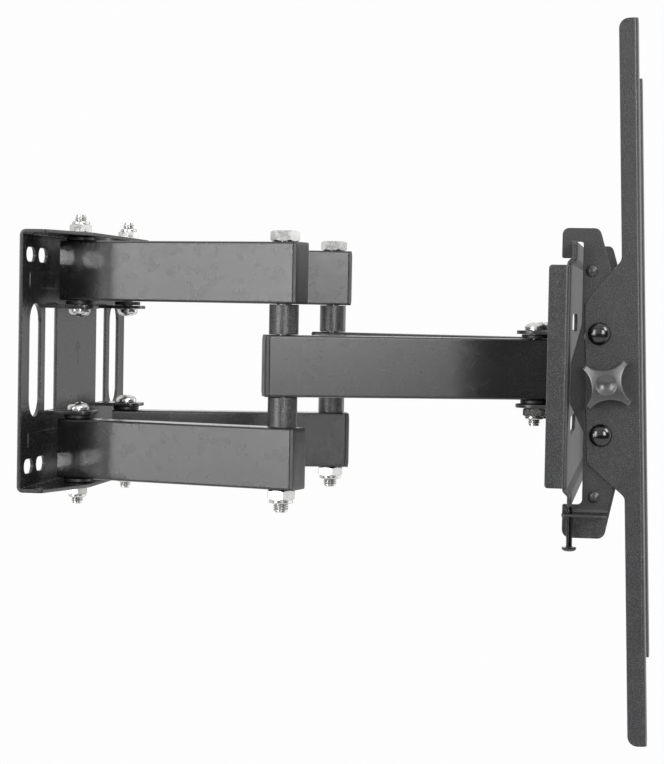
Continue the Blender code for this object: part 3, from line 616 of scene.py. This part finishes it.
bright_zinc = plated("bright zinc plate", "#838382", 0.24, 0.5 * MM)


def threaded(radius, low, high, pitch=thread_pitch, depth=thread_depth):
    """A threaded length of shank from a low to a high point, with a chamfered end at the top."""
    root = radius - depth
    core = turned([(0, low), (root, low), (root, high - depth / 2), (root - depth / 2, high), (0, high)], 32)
    form = bmesh.new()
    section = [(root - 0.05 * MM, -0.46), (radius, -0.08), (radius, 0.08), (root - 0.05 * MM, 0.46)]
    ridge = [form.verts.new((across, 0, low + (0.5 + up) * pitch)) for across, up in section]
    for pair in zip(ridge, ridge[1:] + ridge[:1]):
        form.edges.new(pair)
    turns = max(1, int((high - low) / pitch) - 1)
    steps = 20 * turns
    bmesh.ops.spin(
        form,
        geom=form.verts[:] + form.edges[:],
        axis=(0, 0, 1),
        cent=(0, 0, 0),
        dvec=(0, 0, pitch / 20),
        angle=math.radians(360) * turns,
        steps=steps,
        use_merge=False,
    )
    bmesh.ops.remove_doubles(form, verts=form.verts[:], dist=1e-7)
    bmesh.ops.holes_fill(form, edges=form.edges[:])
    bmesh.ops.recalc_face_normals(form, faces=form.faces[:])
    join(core, form)
    return core


def cross_recess(form, crown, width=2.0 * MM, length=8.4 * MM, depth=2.6 * MM):
    """Presses a cross into a head whose crown is its highest point."""
    for place in (-length / 2, -width / 2, width / 2, length / 2):
        for normal in ((1, 0, 0), (0, 1, 0)):
            geometry = form.verts[:] + form.edges[:] + form.faces[:]
            at = (place, place, 0)
            bmesh.ops.bisect_plane(form, geom=geometry, dist=1e-7, plane_co=at, plane_no=normal)
    pressed = []
    for face in form.faces:
        centre = face.calc_center_median()
        short, long = sorted((abs(centre.x), abs(centre.y)))
        if centre.z > crown - 2.5 * MM and short < width / 2 and long < length / 2 and face.normal.z > 0.3:
            pressed.append(face)
    walls = bmesh.ops.extrude_face_region(form, geom=pressed)["geom"]
    floor = [item for item in walls if isinstance(item, bmesh.types.BMVert)]
    bmesh.ops.delete(form, geom=[face for face in pressed if face.is_valid], context="FACES")
    for vert in floor:
        taper = 0.55 if max(abs(vert.co.x), abs(vert.co.y)) > width else 0.8
        vert.co = (vert.co.x * taper, vert.co.y * taper, crown - depth)


def pan_head(radius, height, side_share=0.3):
    """A domed head on the origin, with a cross recess."""
    rim = height * side_share
    profile = [(0, 0), (radius - 0.2 * MM, 0), (radius, 0.2 * MM), (radius, rim)]
    for index in range(1, 10):
        turn = math.radians(90) * index / 9
        profile.append((radius * math.cos(turn) ** 0.8, rim + (height - rim) * math.sin(turn)))
    profile[-1] = (0, height)
    head = turned(profile)
    cross_recess(head, height)
    return head


def pan_bolt(length, thread_length):
    """A pan head screw: its head below the origin, its shank going up."""
    bolt = pan_head(pan_radius, pan_height)
    bmesh.ops.rotate(bolt, cent=(0, 0, 0), matrix=Matrix.Rotation(math.pi, 3, "X"), verts=bolt.verts)
    plain = length - thread_length
    shank = [(0, -0.5 * MM), (bolt_radius - 0.1 * MM, -0.5 * MM), (bolt_radius - 0.1 * MM, plain), (0, plain)]
    join(bolt, turned(shank, 32))
    join(bolt, threaded(bolt_radius, plain - 0.2 * MM, length))
    return bolt


def upright(x, y, z, level):
    """A place on an upright axis, right way up or turned over."""
    return Matrix.Translation((x, y, z)) @ (Matrix() if level > 0 else Matrix.Rotation(math.pi, 4, "X"))


for hand in hands:
    for height, level in heights.items():
        node = f"{hand}_{height}_wall_bolt"
        x, y, low, high = middle_and_ends(node)
        seat = low + pan_height if level > 0 else high - pan_height
        bolt = pan_bolt(high - low - pan_height, 18 * MM)
        place = upright(x, y, seat, level)
        finish(node + "_screw", bolt, bright_zinc, "wall_plate", [node], place)
    node = hand + "_head_bolt"
    x, y, low, high = middle_and_ends(node)
    bolt = pan_bolt(high - low - pan_height, 18 * MM)
    place = upright(x, y, high - pan_height, -1)
    finish(node + "_screw", bolt, bright_zinc, "head", [node], place)


# Lock nuts
# Hexagon nuts, cold formed, with a turned cone on both faces and a crimped collar that holds a ring of
# nylon against the thread.


def hexagon(flats, height, hole=0):
    """Hexagon bar of this height on the origin, with both ends turned to a cone."""
    form = bmesh.new()
    bmesh.ops.create_circle(form, cap_ends=True, segments=6, radius=flats / math.sqrt(3))
    bmesh.ops.subdivide_edges(form, edges=form.edges[:], cuts=7)
    raised = bmesh.ops.extrude_face_region(form, geom=form.faces[:])["geom"]
    top = [item for item in raised if isinstance(item, bmesh.types.BMVert)]
    bmesh.ops.translate(form, vec=(0, 0, height), verts=top)
    bmesh.ops.recalc_face_normals(form, faces=form.faces[:])
    circle = flats / 2 * 0.95
    for end in [face for face in form.faces if abs(face.normal.z) > 0.9]:
        level = math.copysign(1, end.normal.z)
        at = height if level > 0 else 0
        crown = bmesh.ops.extrude_face_region(form, geom=[end])["geom"]
        inner = [item for item in crown if isinstance(item, bmesh.types.BMVert)]
        rim = list(end.verts)
        for vert in rim:
            vert.co.z = at - level * (vert.co.xy.length - circle) * math.tan(math.radians(30))
        bmesh.ops.delete(form, geom=[end], context="FACES_ONLY")
        for vert in inner:
            vert.co = (*(vert.co.xy.normalized() * circle), at)
    bmesh.ops.recalc_face_normals(form, faces=form.faces[:])
    return form


def lock_nut(flats, height, hole):
    """A locking nut on the origin with its collar upwards."""
    nut = hexagon(flats, height * 0.74)
    top, rim = height, flats / 2 * 0.93
    collar = [(0, height * 0.6), (rim, height * 0.6), (rim, top - 0.9 * MM)]
    collar += arc((rim - 0.9 * MM, top - 0.9 * MM), 0.9 * MM, 0, math.pi / 2, 4)
    collar += [(hole + 0.9 * MM, top), (hole, top - 0.7 * MM), (0, top - 0.7 * MM)]
    join(nut, turned(collar))
    return nut


nut_turn = math.radians(12)
for hand in hands:
    for height, level in heights.items():
        node = f"{hand}_{height}_wall_nut"
        x, y, low, high = middle_and_ends(node)
        place = upright(x, y, low if level > 0 else high, level) @ Matrix.Rotation(nut_turn, 4, "Z")
        nut = lock_nut(13 * MM, high - low, bolt_radius)
        finish(node + "_locking", nut, bright_zinc, "wall_plate", [node], place)
    node = hand + "_head_nut"
    x, y, low, high = middle_and_ends(node)
    place = upright(x, y, high, -1) @ Matrix.Rotation(-nut_turn, 4, "Z")
    locking = lock_nut(13 * MM, high - low, bolt_radius)
    finish(node + "_locking", locking, bright_zinc, "head", [node], place)


# Elbow bolts
# M10 hexagon head bolts down through the upper arm, spacer, front arm, spacer and lower arm, with a
# locking nut under the lower arm.

for hand in hands:
    body = hand + "_wall_arms"
    node = hand + "_elbow_nut"
    x, y, low, nut_top = middle_and_ends(node)
    place = upright(x, y, nut_top, -1) @ Matrix.Rotation(nut_turn, 4, "Z")
    nut = lock_nut(17 * MM, nut_top - low, elbow_bolt_radius)
    finish(node + "_locking", nut, bright_zinc, body, [node], place)
    node = hand + "_elbow_bolt"
    x, y, low, high = middle_and_ends(node)
    head_height = 7 * MM
    seat = high - head_height
    bolt = hexagon(17 * MM, head_height)
    bmesh.ops.translate(bolt, vec=(0, 0, seat), verts=bolt.verts)
    plain = low + 24 * MM
    radius = elbow_bolt_radius - 0.1 * MM
    join(bolt, turned([(0, plain), (radius, plain), (radius, seat + 0.5 * MM), (0, seat + 0.5 * MM)], 32))
    end = threaded(elbow_bolt_radius, -plain - 0.2 * MM, -low, 1.5 * MM, 0.85 * MM)
    bmesh.ops.rotate(end, cent=(0, 0, 0), matrix=Matrix.Rotation(math.pi, 3, "X"), verts=end.verts)
    join(bolt, end)
    finish(node + "_hexagon", bolt, bright_zinc, body, [node], Matrix.Translation((x, y, 0)))


# Arm clevises
# U shaped brackets of 2.4 mm steel, punched, bent and spot welded to the back of the head plate. Their
# round ears hold the ends of the front arms. Grey powder coated with the plate.

grey_powder_coat = powder_coat("grey powder coat", "#080809", "#373739", 0.6 * MM, 0.34, 0.02 * MM)
clevis_width, ear_bend = 25 * MM, 2.2 * MM


def hole_at(x, y, radius):
    """A round hole."""
    return arc((x, y), radius, 0, 2 * math.pi, 32)[:-1]


for hand in hands:
    node = hand + "_arm_clevis"
    low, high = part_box(node)
    middle = Vector(((low.x + high.x) / 2, low.y + plate_sheet / 2, 0))
    start = high.z - plate_sheet / 2 - ear_bend
    pivot_flat = start + ear_bend * math.pi / 2 + (pivots[hand][2].y - middle.y) - ear_bend
    reach = clevis_width / 2
    corners = [(level * reach, -pivot_flat - reach, reach - 0.02 * MM) for level in (-1, 1)]
    corners += [(level * reach, pivot_flat + reach, reach - 0.02 * MM) for level in (1, -1)]
    holes = [hole_at(0, level * pivot_flat, bolt_radius + gap) for level in (-1, 1)]
    clevis = cut_sheet(rounded(corners, 16), holes, plate_sheet)
    for level in (-1, 1):
        bend(clevis, start, ear_bend, math.radians(90), along=1, side=level)
    lay = Matrix(((1, 0, 0, middle.x), (0, 0, 1, middle.y), (0, 1, 0, 0), (0, 0, 0, 1)))
    finish(node + "_bracket", clevis, grey_powder_coat, "head", [node], lay)


# Head plate
# One wide sheet that carries the screen: its top and bottom lips are joggled forward for the hooks, its
# ends are folded back into flanges, and four slots are punched in the web.

head_low, head_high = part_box("head_plate")
head_half = head_high.x
flange_half, flange_slit = 66 * MM, 0.9 * MM
head_bend, lip_bend = 1.7 * MM, 1.5 * MM
web_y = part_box("left_arm_clevis")[0].y - gap - plate_sheet / 2
joggle = 3.1 * MM
lip_corner = 67 * MM
tangent = lip_bend * math.tan(math.radians(22.5))
lip_arc = lip_bend * math.pi / 4
near_bend = lip_corner - tangent
far_bend = near_bend + lip_arc + joggle * math.sqrt(2) - 2 * tangent
flange_start = head_half - plate_sheet / 2 - head_bend
flange_flat = flange_start + head_bend * math.pi / 2 + (head_high.y - web_y) - head_bend


def flat_lip(reach):
    """How far up the flat sheet the edge of a lip lies that ends at this height."""
    return far_bend + lip_arc + reach - (lip_corner + joggle + tangent)


top, bottom = flat_lip(head_high.z), -flat_lip(-head_low.z)
lip_end = head_half - 0.2 * MM
corners = []
for side in (1, -1):
    run = [(lip_end, bottom, 1.5 * MM), (lip_end, -flange_half - flange_slit, 0)]
    run += [(flange_start, -flange_half - flange_slit, 0), (flange_start, -flange_half, 0)]
    run += [(flange_flat, -flange_half, 2 * MM), (flange_flat, flange_half, 2 * MM)]
    run += [(flange_start, flange_half, 0), (flange_start, flange_half + flange_slit, 0)]
    run += [(lip_end, flange_half + flange_slit, 0), (lip_end, top, 1.5 * MM)]
    corners += run if side > 0 else [(-x, y, radius) for x, y, radius in reversed(run)]
holes = []
for side in (-1, 1):
    for level in (-1, 1):
        holes.append(slot_hole(side * 108 * MM, level * 31.5 * MM, 78 * MM, 11 * MM))
head = cut_sheet(rounded(corners), holes, plate_sheet)
for side in (-1, 1):
    bend(head, far_bend, lip_bend, math.radians(45), along=1, side=side)
    bend(head, near_bend, lip_bend, math.radians(-45), along=1, side=side)
for side in (-1, 1):

    def on_flange(place):
        return abs(place.y) < flange_half + flange_slit / 2

    bend(head, flange_start, head_bend, math.radians(90), side=side, only=on_flange)
lay = Matrix(((1, 0, 0, 0), (0, 0, 1, web_y), (0, 1, 0, 0), (0, 0, 0, 1)))
finish("head_plate_folded", head, grey_powder_coat, "head", ["head_plate"], lay)


# Hook plates
# Two 1.5 mm plates riveted face to face at each rail. Both hook over the top lip. The outer one is bent
# out at its foot into the tab for the lock screw and the inner one runs on below it.

hook_sheet = 1.5 * MM
lip_back = web_y + plate_sheet / 2 - joggle
lip_front = lip_back - plate_sheet
tilt_y, tilt_z = pivot_at["left_tilt"].y, pivot_at["left_tilt"].z
screen_y = tilt_y - 21 * MM
tab_bend = 3 * MM
tab_start = -79.75 * MM
tab_out = 12 * MM
rivet_at = ((-368.9 * MM, 63 * MM), (-373.1 * MM, -72.1 * MM))


def hook_outline(foot):
    """A hook plate as (y, z, radius): hook over the top lip, pad on the web, then the given foot."""
    nose_front = lip_back + 0.6 * MM
    nose_back = nose_front + 6.4 * MM
    slot_front = lip_front - 3.3 * MM
    pad = web_y - plate_sheet / 2 - gap
    lower_back = slot_front - 2.4 * MM
    crown = screen_y + 6.4 * MM
    foot_top = head_low.z - 2 * gap
    hook = [(nose_back, 88.5 * MM, 4 * MM), (nose_back, head_high.z - 9.6 * MM, 1.2 * MM)]
    hook += [(nose_front, head_high.z - 9.6 * MM, 0.6 * MM), (nose_front, head_high.z + gap, 0.6 * MM)]
    hook += [(slot_front, head_high.z + gap, 1.5 * MM), (slot_front, tilt_z + 36 * MM, 2 * MM)]
    hook += [(pad, tilt_z + 12 * MM, 3 * MM), (pad, tilt_z - 12 * MM, 3 * MM)]
    hook += [(lower_back, tilt_z - 29 * MM, 3 * MM), (lower_back, foot_top, 3 * MM)]
    hook += [(nose_back - 3.4 * MM, foot_top, 0.8 * MM)] + foot
    hook += [(crown, tilt_z - 24 * MM, 8 * MM), (crown, tilt_z + 20 * MM, 8 * MM)]
    return hook + [(lip_front - 14 * MM, 84.5 * MM, 4 * MM), (lip_front - 12.6 * MM, 88.5 * MM, 4 * MM)]


def arc_slot(centre, radius, middle, half_turn, half_width):
    """A slot curved about a centre."""
    low, high = middle - half_turn, middle + half_turn

    def at(angle):
        return (centre[0] + radius * math.cos(angle), centre[1] + radius * math.sin(angle))

    outline = arc(centre, radius + half_width, low, high)[:-1]
    outline += arc(at(high), half_width, high, high + math.pi)[:-1]
    outline += arc(centre, radius - half_width, high, low)[:-1]
    return outline + arc(at(low), half_width, low - math.pi, low)[:-1]


foot_back = lip_back + 3.6 * MM
foot_front = lip_front - 19 * MM
tab_front = lip_front - 21 * MM
tab_flat = tab_start - tab_bend * math.pi / 2 - (tab_out + hook_sheet / 2 - tab_bend)
lock_flat = tab_flat + tab_out / 2
long_foot = [(foot_back, -97.3 * MM, 5 * MM), (foot_front, -97.3 * MM, 5 * MM)]
bent_foot = [(foot_back, tab_flat, 2 * MM), (tab_front, tab_flat, 2 * MM), (tab_front, tab_start, 3 * MM)]
lock_y = (lip_back + lip_front) / 2
guide_reach = math.hypot(4.3 * MM, 30.3 * MM)
guide_angle = math.atan2(30.3, 4.3)
guide_slots = []
for level in (-1, 1):
    middle = math.radians(-3.5) + level * guide_angle
    guide_slots.append(arc_slot((tilt_y, tilt_z), guide_reach, middle, math.radians(9.5), 3.3 * MM))
stud_hole = hole_at(tilt_y, tilt_z, bolt_radius + gap)
for hand, side in hands.items():
    node = hand + "_hook_plate"
    outside = side * max(abs(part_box(node)[0].x), abs(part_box(node)[1].x)) - side * tab_out
    outer = cut_sheet(
        rounded(hook_outline(bent_foot)),
        [*guide_slots, stud_hole, hole_at(lock_y, lock_flat, 2.4 * MM)],
        hook_sheet - 0.04 * MM,
        edge=0.2 * MM,
    )
    bend(outer, -tab_start, tab_bend, math.radians(90), along=1, side=-1)
    inner = cut_sheet(
        rounded(hook_outline(long_foot)), [*guide_slots, stud_hole], hook_sheet - 0.04 * MM, edge=0.2 * MM
    )
    bmesh.ops.translate(inner, vec=(0, 0, -hook_sheet), verts=inner.verts)
    join(outer, inner)
    for y, z in rivet_at:
        dome = [(0, 1.5 * MM), (1.6 * MM, 1.38 * MM), (2.8 * MM, 0.95 * MM), (3.5 * MM, 0.4 * MM)]
        dome += [(3.75 * MM, 0), (3.75 * MM, -0.3 * MM), (0, -0.3 * MM)]
        rivet = turned(dome, 32)
        bmesh.ops.translate(rivet, vec=(y, z, hook_sheet / 2), verts=rivet.verts)
        join(outer, rivet)
    weld_nut = hexagon(13 * MM, 6 * MM)
    bmesh.ops.translate(weld_nut, vec=(tilt_y, tilt_z, -1.5 * hook_sheet - 6 * MM), verts=weld_nut.verts)
    join(outer, weld_nut)
    lay = Matrix(((0, 0, side, outside - side * hook_sheet / 2), (1, 0, 0, 0), (0, 1, 0, 0), (0, 0, 0, 1)))
    finish(node + "_riveted", outer, grey_powder_coat, hand + "_hook", [node], lay)


# Screen rails
# 2 mm steel folded into a shallow channel, with a row of slots in its web for the screen's screws and
# an ear left on its outer flange that holds the knob and two guide screws.

rail_sheet, rail_bend = 2 * MM, 1.5 * MM
rail_middle, rail_flat_web = 157.5 * MM, 11.5 * MM
rail_half = 217 * MM
flat_bend = rail_flat_web + rail_bend * math.pi / 2
shallow, ear = flat_bend + 9 * MM, flat_bend + 31 * MM
rest_tilt = math.radians(-2)
rail_corners = [(-shallow, rail_half, 3 * MM), (-shallow, -rail_half, 3 * MM), (shallow, -rail_half, 6 * MM)]
rail_corners += [(shallow, -67.5 * MM, 5 * MM), (ear, -47 * MM, 4 * MM)]
rail_corners += [(ear, 48 * MM, 4 * MM), (shallow, 74 * MM, 6 * MM), (shallow, rail_half, 6 * MM)]
for hand, side in hands.items():
    node = hand + "_screen_rail"
    rows = [level * row * MM for row in (50, 100, 150, 200) for level in (-1, 1)]
    slots = [slot_hole(0, row, 9 * MM, 22 * MM) for row in rows]
    rail = cut_sheet(rounded(rail_corners), slots, rail_sheet)
    for fold in (-1, 1):
        bend(rail, rail_flat_web, rail_bend, math.radians(90), side=fold)
    lay = Matrix(
        ((side, 0, 0, side * rail_middle), (0, 0, 1, rail_sheet / 2 - 21 * MM), (0, 1, 0, 0), (0, 0, 0, 1))
    )
    tilted = Matrix.Translation((0, tilt_y, tilt_z)) @ Matrix.Rotation(rest_tilt, 4, "X")
    finish(node + "_folded", rail, grey_powder_coat, hand + "_rail", [node], tilted @ lay)


# Tilt knobs
# Four pointed hand knobs moulded in grey nylon round a steel stud, crowned, with hollow sides, easy
# edges and a thumb dish in the middle. They clamp each rail to its hook plate.

knob_tip, knob_waist, tip_width = 17.5 * MM, 8.8 * MM, 3 * MM
knob_thickness, knob_turn = 10 * MM, math.radians(-5)
collar_radius, collar_length = 7.5 * MM, 4.5 * MM
dish_radius, dish_depth = 6 * MM, 1.6 * MM
crown_fall, crown_shoulder = 3.0 * MM, 0.9 * MM
foot_edge, foot_share = 0.8 * MM, 0.95
# Each ring's share of the way out from the dish, and how far the eased edge drops there
crown_rings = [(0.985, 0.5 * MM), (0.96, 0.2 * MM), (0.92, 0.05 * MM)]
crown_rings += [(share, 0) for share in (0.84, 0.68, 0.5, 0.3, 0.12, 0.03)]
dish_rings = [away * MM for away in (5.8, 5.2, 4.4, 3.4, 2.2, 1.0)]
satin_grey_nylon = moulded("satin grey nylon", "#2f2f30", 0.26, 0.5 * MM, 0.004 * MM)


def knob_star(steps=14):
    """The outline of the knob: four narrow tips joined by hollow sides."""
    outline = []
    for index in range(4):
        start_turn = Matrix.Rotation(index * math.pi / 2 + math.pi / 4, 2)
        end_turn = Matrix.Rotation((index + 1) * math.pi / 2 + math.pi / 4, 2)
        start = start_turn @ Vector((knob_tip, tip_width / 2))
        end = end_turn @ Vector((knob_tip, -tip_width / 2))
        chord, middle = (end - start).length / 2, (start + end) / 2
        sag = middle.length - knob_waist
        radius = (chord**2 + sag**2) / (2 * sag)
        outward, swing = math.atan2(middle.y, middle.x), math.asin(chord / radius)
        centre = middle.normalized() * (knob_waist + radius)
        outline += arc(centre, radius, outward + math.pi + swing, outward + math.pi - swing, steps)
    return outline


def crowned_star():
    """The star raised from the origin, its rim eased and its crown drawn in to a round dish."""
    form = bmesh.new()
    points = [form.verts.new((x, y, foot_edge)) for x, y in knob_star()]
    loop = [form.edges.new(pair) for pair in zip(points, points[1:] + points[:1])]
    bottom = bmesh.ops.extrude_edge_only(form, edges=loop)["geom"]
    rim = [item for item in bottom if isinstance(item, bmesh.types.BMVert)]
    for vert in rim:
        vert.co = (*(vert.co.xy * foot_share), 0)
    form.faces.new(rim)

    def next_ring(drawn_in, height_at):
        """Grows a ring from the last one. Both functions take a point's distance from the axis."""
        nonlocal loop
        grown = bmesh.ops.extrude_edge_only(form, edges=loop)["geom"]
        ring_verts = {item for item in grown if isinstance(item, bmesh.types.BMVert)}
        edges = [item for item in grown if isinstance(item, bmesh.types.BMEdge)]
        loop = [edge for edge in edges if ring_verts.issuperset(edge.verts)]
        for vert in ring_verts:
            away = drawn_in(vert.co.xy.length)
            vert.co = (*(vert.co.xy.normalized() * away), height_at(away))

    def crown(away):
        return knob_thickness - crown_fall * (away / knob_tip) ** 2

    next_ring(lambda away: away, lambda away: crown(away) - crown_shoulder)
    left = 1.0
    for keep, drop in crown_rings:
        share = keep / left
        next_ring(lambda away: dish_radius + (away - dish_radius) * share, lambda away: crown(away) - drop)
        left = keep
    for ring_radius in dish_rings:
        next_ring(
            lambda away: ring_radius,
            lambda away: crown(dish_radius) - dish_depth * (1 - (away / dish_radius) ** 2),
        )
    bmesh.ops.holes_fill(form, edges=loop)
    bmesh.ops.recalc_face_normals(form, faces=form.faces[:])
    return form


for hand, side in hands.items():
    node = hand + "_tilt_knob"
    knob = crowned_star()
    bmesh.ops.translate(knob, vec=(0, 0, collar_length), verts=knob.verts)
    bmesh.ops.rotate(knob, cent=(0, 0, 0), matrix=Matrix.Rotation(side * knob_turn, 3, "Z"), verts=knob.verts)
    collar = [(0, 0), (collar_radius - 0.4 * MM, 0), (collar_radius, 0.4 * MM)]
    join(knob, turned(collar + [(collar_radius * 0.94, collar_length + MM), (0, collar_length + MM)]))
    stud = [(0, -15 * MM), (3.4 * MM, -15 * MM), (bolt_radius, -14 * MM), (bolt_radius, MM), (0, MM)]
    join(knob, turned(stud, 24))
    ear_face = abs(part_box(hand + "_screen_rail")[0 if side < 0 else 1].x) + gap
    outward = Matrix.Translation((side * ear_face, 0, 0)) @ Matrix.Rotation(side * math.pi / 2, 4, "Y")
    place = tilted @ outward
    finish(node + "_moulding", knob, satin_grey_nylon, hand + "_knob", [node], place)


# Guide screws
# Domed shoulder screws, black and polished, one above and one below each knob. They ride in the curved
# slots of the hook plate as the screen tilts.

polished_black = moulded("polished black oxide", "#060606", 0.17, 3 * MM, 0.05 * MM, 0.04)
guide_head_radius, guide_head_height = 6.8 * MM, 4.6 * MM
for hand, side in hands.items():
    for height, level in heights.items():
        node = f"{hand}_{height}_guide_screw"
        crown = [(0, 0), (guide_head_radius - 0.3 * MM, 0), (guide_head_radius, 0.3 * MM)]
        for index in range(1, 13):
            turn = math.radians(90) * index / 12
            rise = guide_head_height - 0.9 * MM
            crown.append((guide_head_radius * math.cos(turn), 0.9 * MM + rise * math.sin(turn)))
        crown[-1] = (0, guide_head_height)
        screw = turned(crown, 64)
        shank = [(0, 0.5 * MM), (3 * MM, 0.5 * MM), (3 * MM, -5.6 * MM), (5 * MM, -5.6 * MM)]
        join(screw, turned(shank + [(5 * MM, -6.8 * MM), (4.7 * MM, -7.1 * MM), (0, -7.1 * MM)]))
        ear_face = abs(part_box(hand + "_screen_rail")[0 if side < 0 else 1].x) + gap
        at = Matrix.Translation((side * ear_face, 4.3 * MM, level * 30.3 * MM))
        outward = at @ Matrix.Rotation(side * math.pi / 2, 4, "Y")
        place = tilted @ outward
        finish(node + "_dome", screw, polished_black, hand + "_rail", [node], place)


# Lock screws
# Long M4 screws up through each tab, with their heads down, that stop the hooks lifting off the lips.
# They have the same polished black oxide as the guide screws.

for hand in hands:
    node = hand + "_lock_screw"
    x, y, low, high = middle_and_ends(node)
    screw = turned(
        [(0, 0), (4.2 * MM, 0), (4.4 * MM, 0.2 * MM), (4.4 * MM, 0.9 * MM), (3.9 * MM, 1.8 * MM)]
        + [(2.7 * MM, 2.4 * MM), (1.3 * MM, 2.6 * MM), (0, 2.6 * MM)]
    )
    cross_recess(screw, 2.6 * MM, 0.9 * MM, 4.4 * MM, 1.3 * MM)
    bmesh.ops.rotate(screw, cent=(0, 0, 0), matrix=Matrix.Rotation(math.pi, 3, "X"), verts=screw.verts)
    join(screw, threaded(2 * MM, -0.3 * MM, high - low - 2.6 * MM, 0.7 * MM, 0.42 * MM))
    place = Matrix.Translation((x, y, low + 2.6 * MM))
    finish(node + "_threaded", screw, polished_black, hand + "_lock", [node], place)


# Camera
# A long lens at the height of the arms, looking along the head plate from the left hand side.

camera = bpy.data.objects.new("camera", bpy.data.cameras.new("camera"))
bpy.context.scene.collection.objects.link(camera)
bpy.context.scene.camera = camera
camera.data.lens = 94.6
camera.data.clip_end = 100
camera.data.shift_x = -0.011
camera.data.shift_y = -0.0012
yaw, pitch, roll = math.radians(-8.946), math.radians(-2.134), math.radians(1.051)
ahead = Vector((math.cos(yaw) * math.cos(pitch), -math.sin(yaw) * math.cos(pitch), math.sin(pitch)))
level_right = ahead.cross(up_axis).normalized()
level_up = level_right.cross(ahead)
right = level_right * math.cos(roll) + level_up * math.sin(roll)
up = level_up * math.cos(roll) - level_right * math.sin(roll)
turn = Matrix((right, up, -ahead)).transposed().to_4x4()
camera.matrix_world = Matrix.Translation((-1.3768, -0.4084, 0.0392)) @ turn


# Studio
# A white sweep with soft boxes round it. The widest lights the arms, two small ones shine past the wall
# plate and one lights the front arms. A key light stands high on the screen side, with weak fill lights
# in front, behind and overhead. The floor is pale and well below the mount.

world = bpy.data.worlds.new("studio")
bpy.context.scene.world = world
bpy.context.scene.view_settings.view_transform = "Standard"
world.use_nodes = True
studio = world.node_tree
studio.nodes.clear()
direction = add_node(studio, "ShaderNodeTexCoord", {}).outputs["Generated"]
parts = add_node(studio, "ShaderNodeSeparateXYZ", {"Vector": direction})
forwards = add_node(
    studio, "ShaderNodeMath", {0: parts.outputs["X"], 1: -1.0}, operation="MULTIPLY"
).outputs[0]
across = parts.outputs["Y"]
bearing = add_node(studio, "ShaderNodeMath", {0: across, 1: forwards}, operation="ARCTAN2").outputs[0]
height_up = parts.outputs["Z"]


def edge_between(value, start, end):
    """Fades from nothing at the start to full at the end."""
    fade = add_node(
        studio,
        "ShaderNodeMapRange",
        {"Value": value, "From Min": start, "From Max": end},
        interpolation_type="SMOOTHSTEP",
    )
    return fade.outputs["Result"]


def product(first, second):
    """One value times another."""
    return add_node(studio, "ShaderNodeMath", {0: first, 1: second}, operation="MULTIPLY").outputs[0]


def total(first, second):
    """One value plus another."""
    return add_node(studio, "ShaderNodeMath", {0: first, 1: second}, operation="ADD").outputs[0]


def soft_box(left, right, bottom, top, power):
    """A soft box between two bearings in degrees from the front and two heights, each (dark, full)."""
    left_edge = edge_between(bearing, *map(math.radians, left))
    sides = product(left_edge, edge_between(bearing, *map(math.radians, right)))
    ends = product(edge_between(height_up, *bottom), edge_between(height_up, *top))
    return product(product(sides, ends), power)


light = soft_box((20, 28), (42.0, 35.5), (-0.2, 0.0), (0.45, 0.3), 14.0)
for box in (
    soft_box((43, 44.5), (50, 47), (0.004, 0.022), (0.12, 0.07), 34.0),
    soft_box((43, 44.5), (50, 47), (-0.15, -0.12), (-0.066, -0.08), 34.0),
    soft_box((-34, -27), (-12, -21), (-0.01, 0.03), (0.4, 0.3), 19.0),
    soft_box((-66, -60), (-36, -42), (0.34, 0.44), (0.74, 0.66), 17.0),
    soft_box((-10, -4), (30, 22), (-0.08, 0.08), (0.6, 0.4), 1.3),
    soft_box((60, 75), (181, 180), (-0.6, -0.4), (0.6, 0.4), 1.3),
    soft_box((-176, -130), (-52, -100), (-0.6, -0.4), (0.6, 0.4), 2.5),
    product(edge_between(height_up, 0.3, 0.75), 1.6),
):
    light = total(light, box)
light = total(light, 0.07)
is_seen = add_node(studio, "ShaderNodeLightPath", {}).outputs["Is Camera Ray"]
surround = add_node(studio, "ShaderNodeBackground", {"Color": (1, 1, 1, 1), "Strength": 0.985})
lit = add_node(studio, "ShaderNodeBackground", {"Color": (1, 1, 1, 1), "Strength": light})
mixed = add_node(studio, "ShaderNodeMixShader", {"Fac": is_seen, 1: lit.outputs[0], 2: surround.outputs[0]})
add_node(studio, "ShaderNodeOutputWorld", {"Surface": mixed.outputs[0]})

floor_radius, floor_drop = 2.6, 0.9
floor_form = bmesh.new()
bmesh.ops.create_circle(floor_form, cap_ends=True, segments=96, radius=floor_radius)
bmesh.ops.translate(floor_form, vec=(0, -0.2, -floor_drop), verts=floor_form.verts)
floor_mesh = bpy.data.meshes.new("floor")
floor_form.to_mesh(floor_mesh)
floor_form.free()
floor = bpy.data.objects.new("floor", floor_mesh)
bpy.context.scene.collection.objects.link(floor)
pale_vinyl = moulded("pale matt vinyl", "#dcdcdc", 0.9, 2 * MM, 0.01 * MM)
floor_shader = pale_vinyl.node_tree.nodes["Principled BSDF"]
floor_shader.inputs["Emission Color"].default_value = (1, 1, 1, 1)
floor_shader.inputs["Emission Strength"].default_value = 0.05
floor_mesh.materials.append(pale_vinyl)
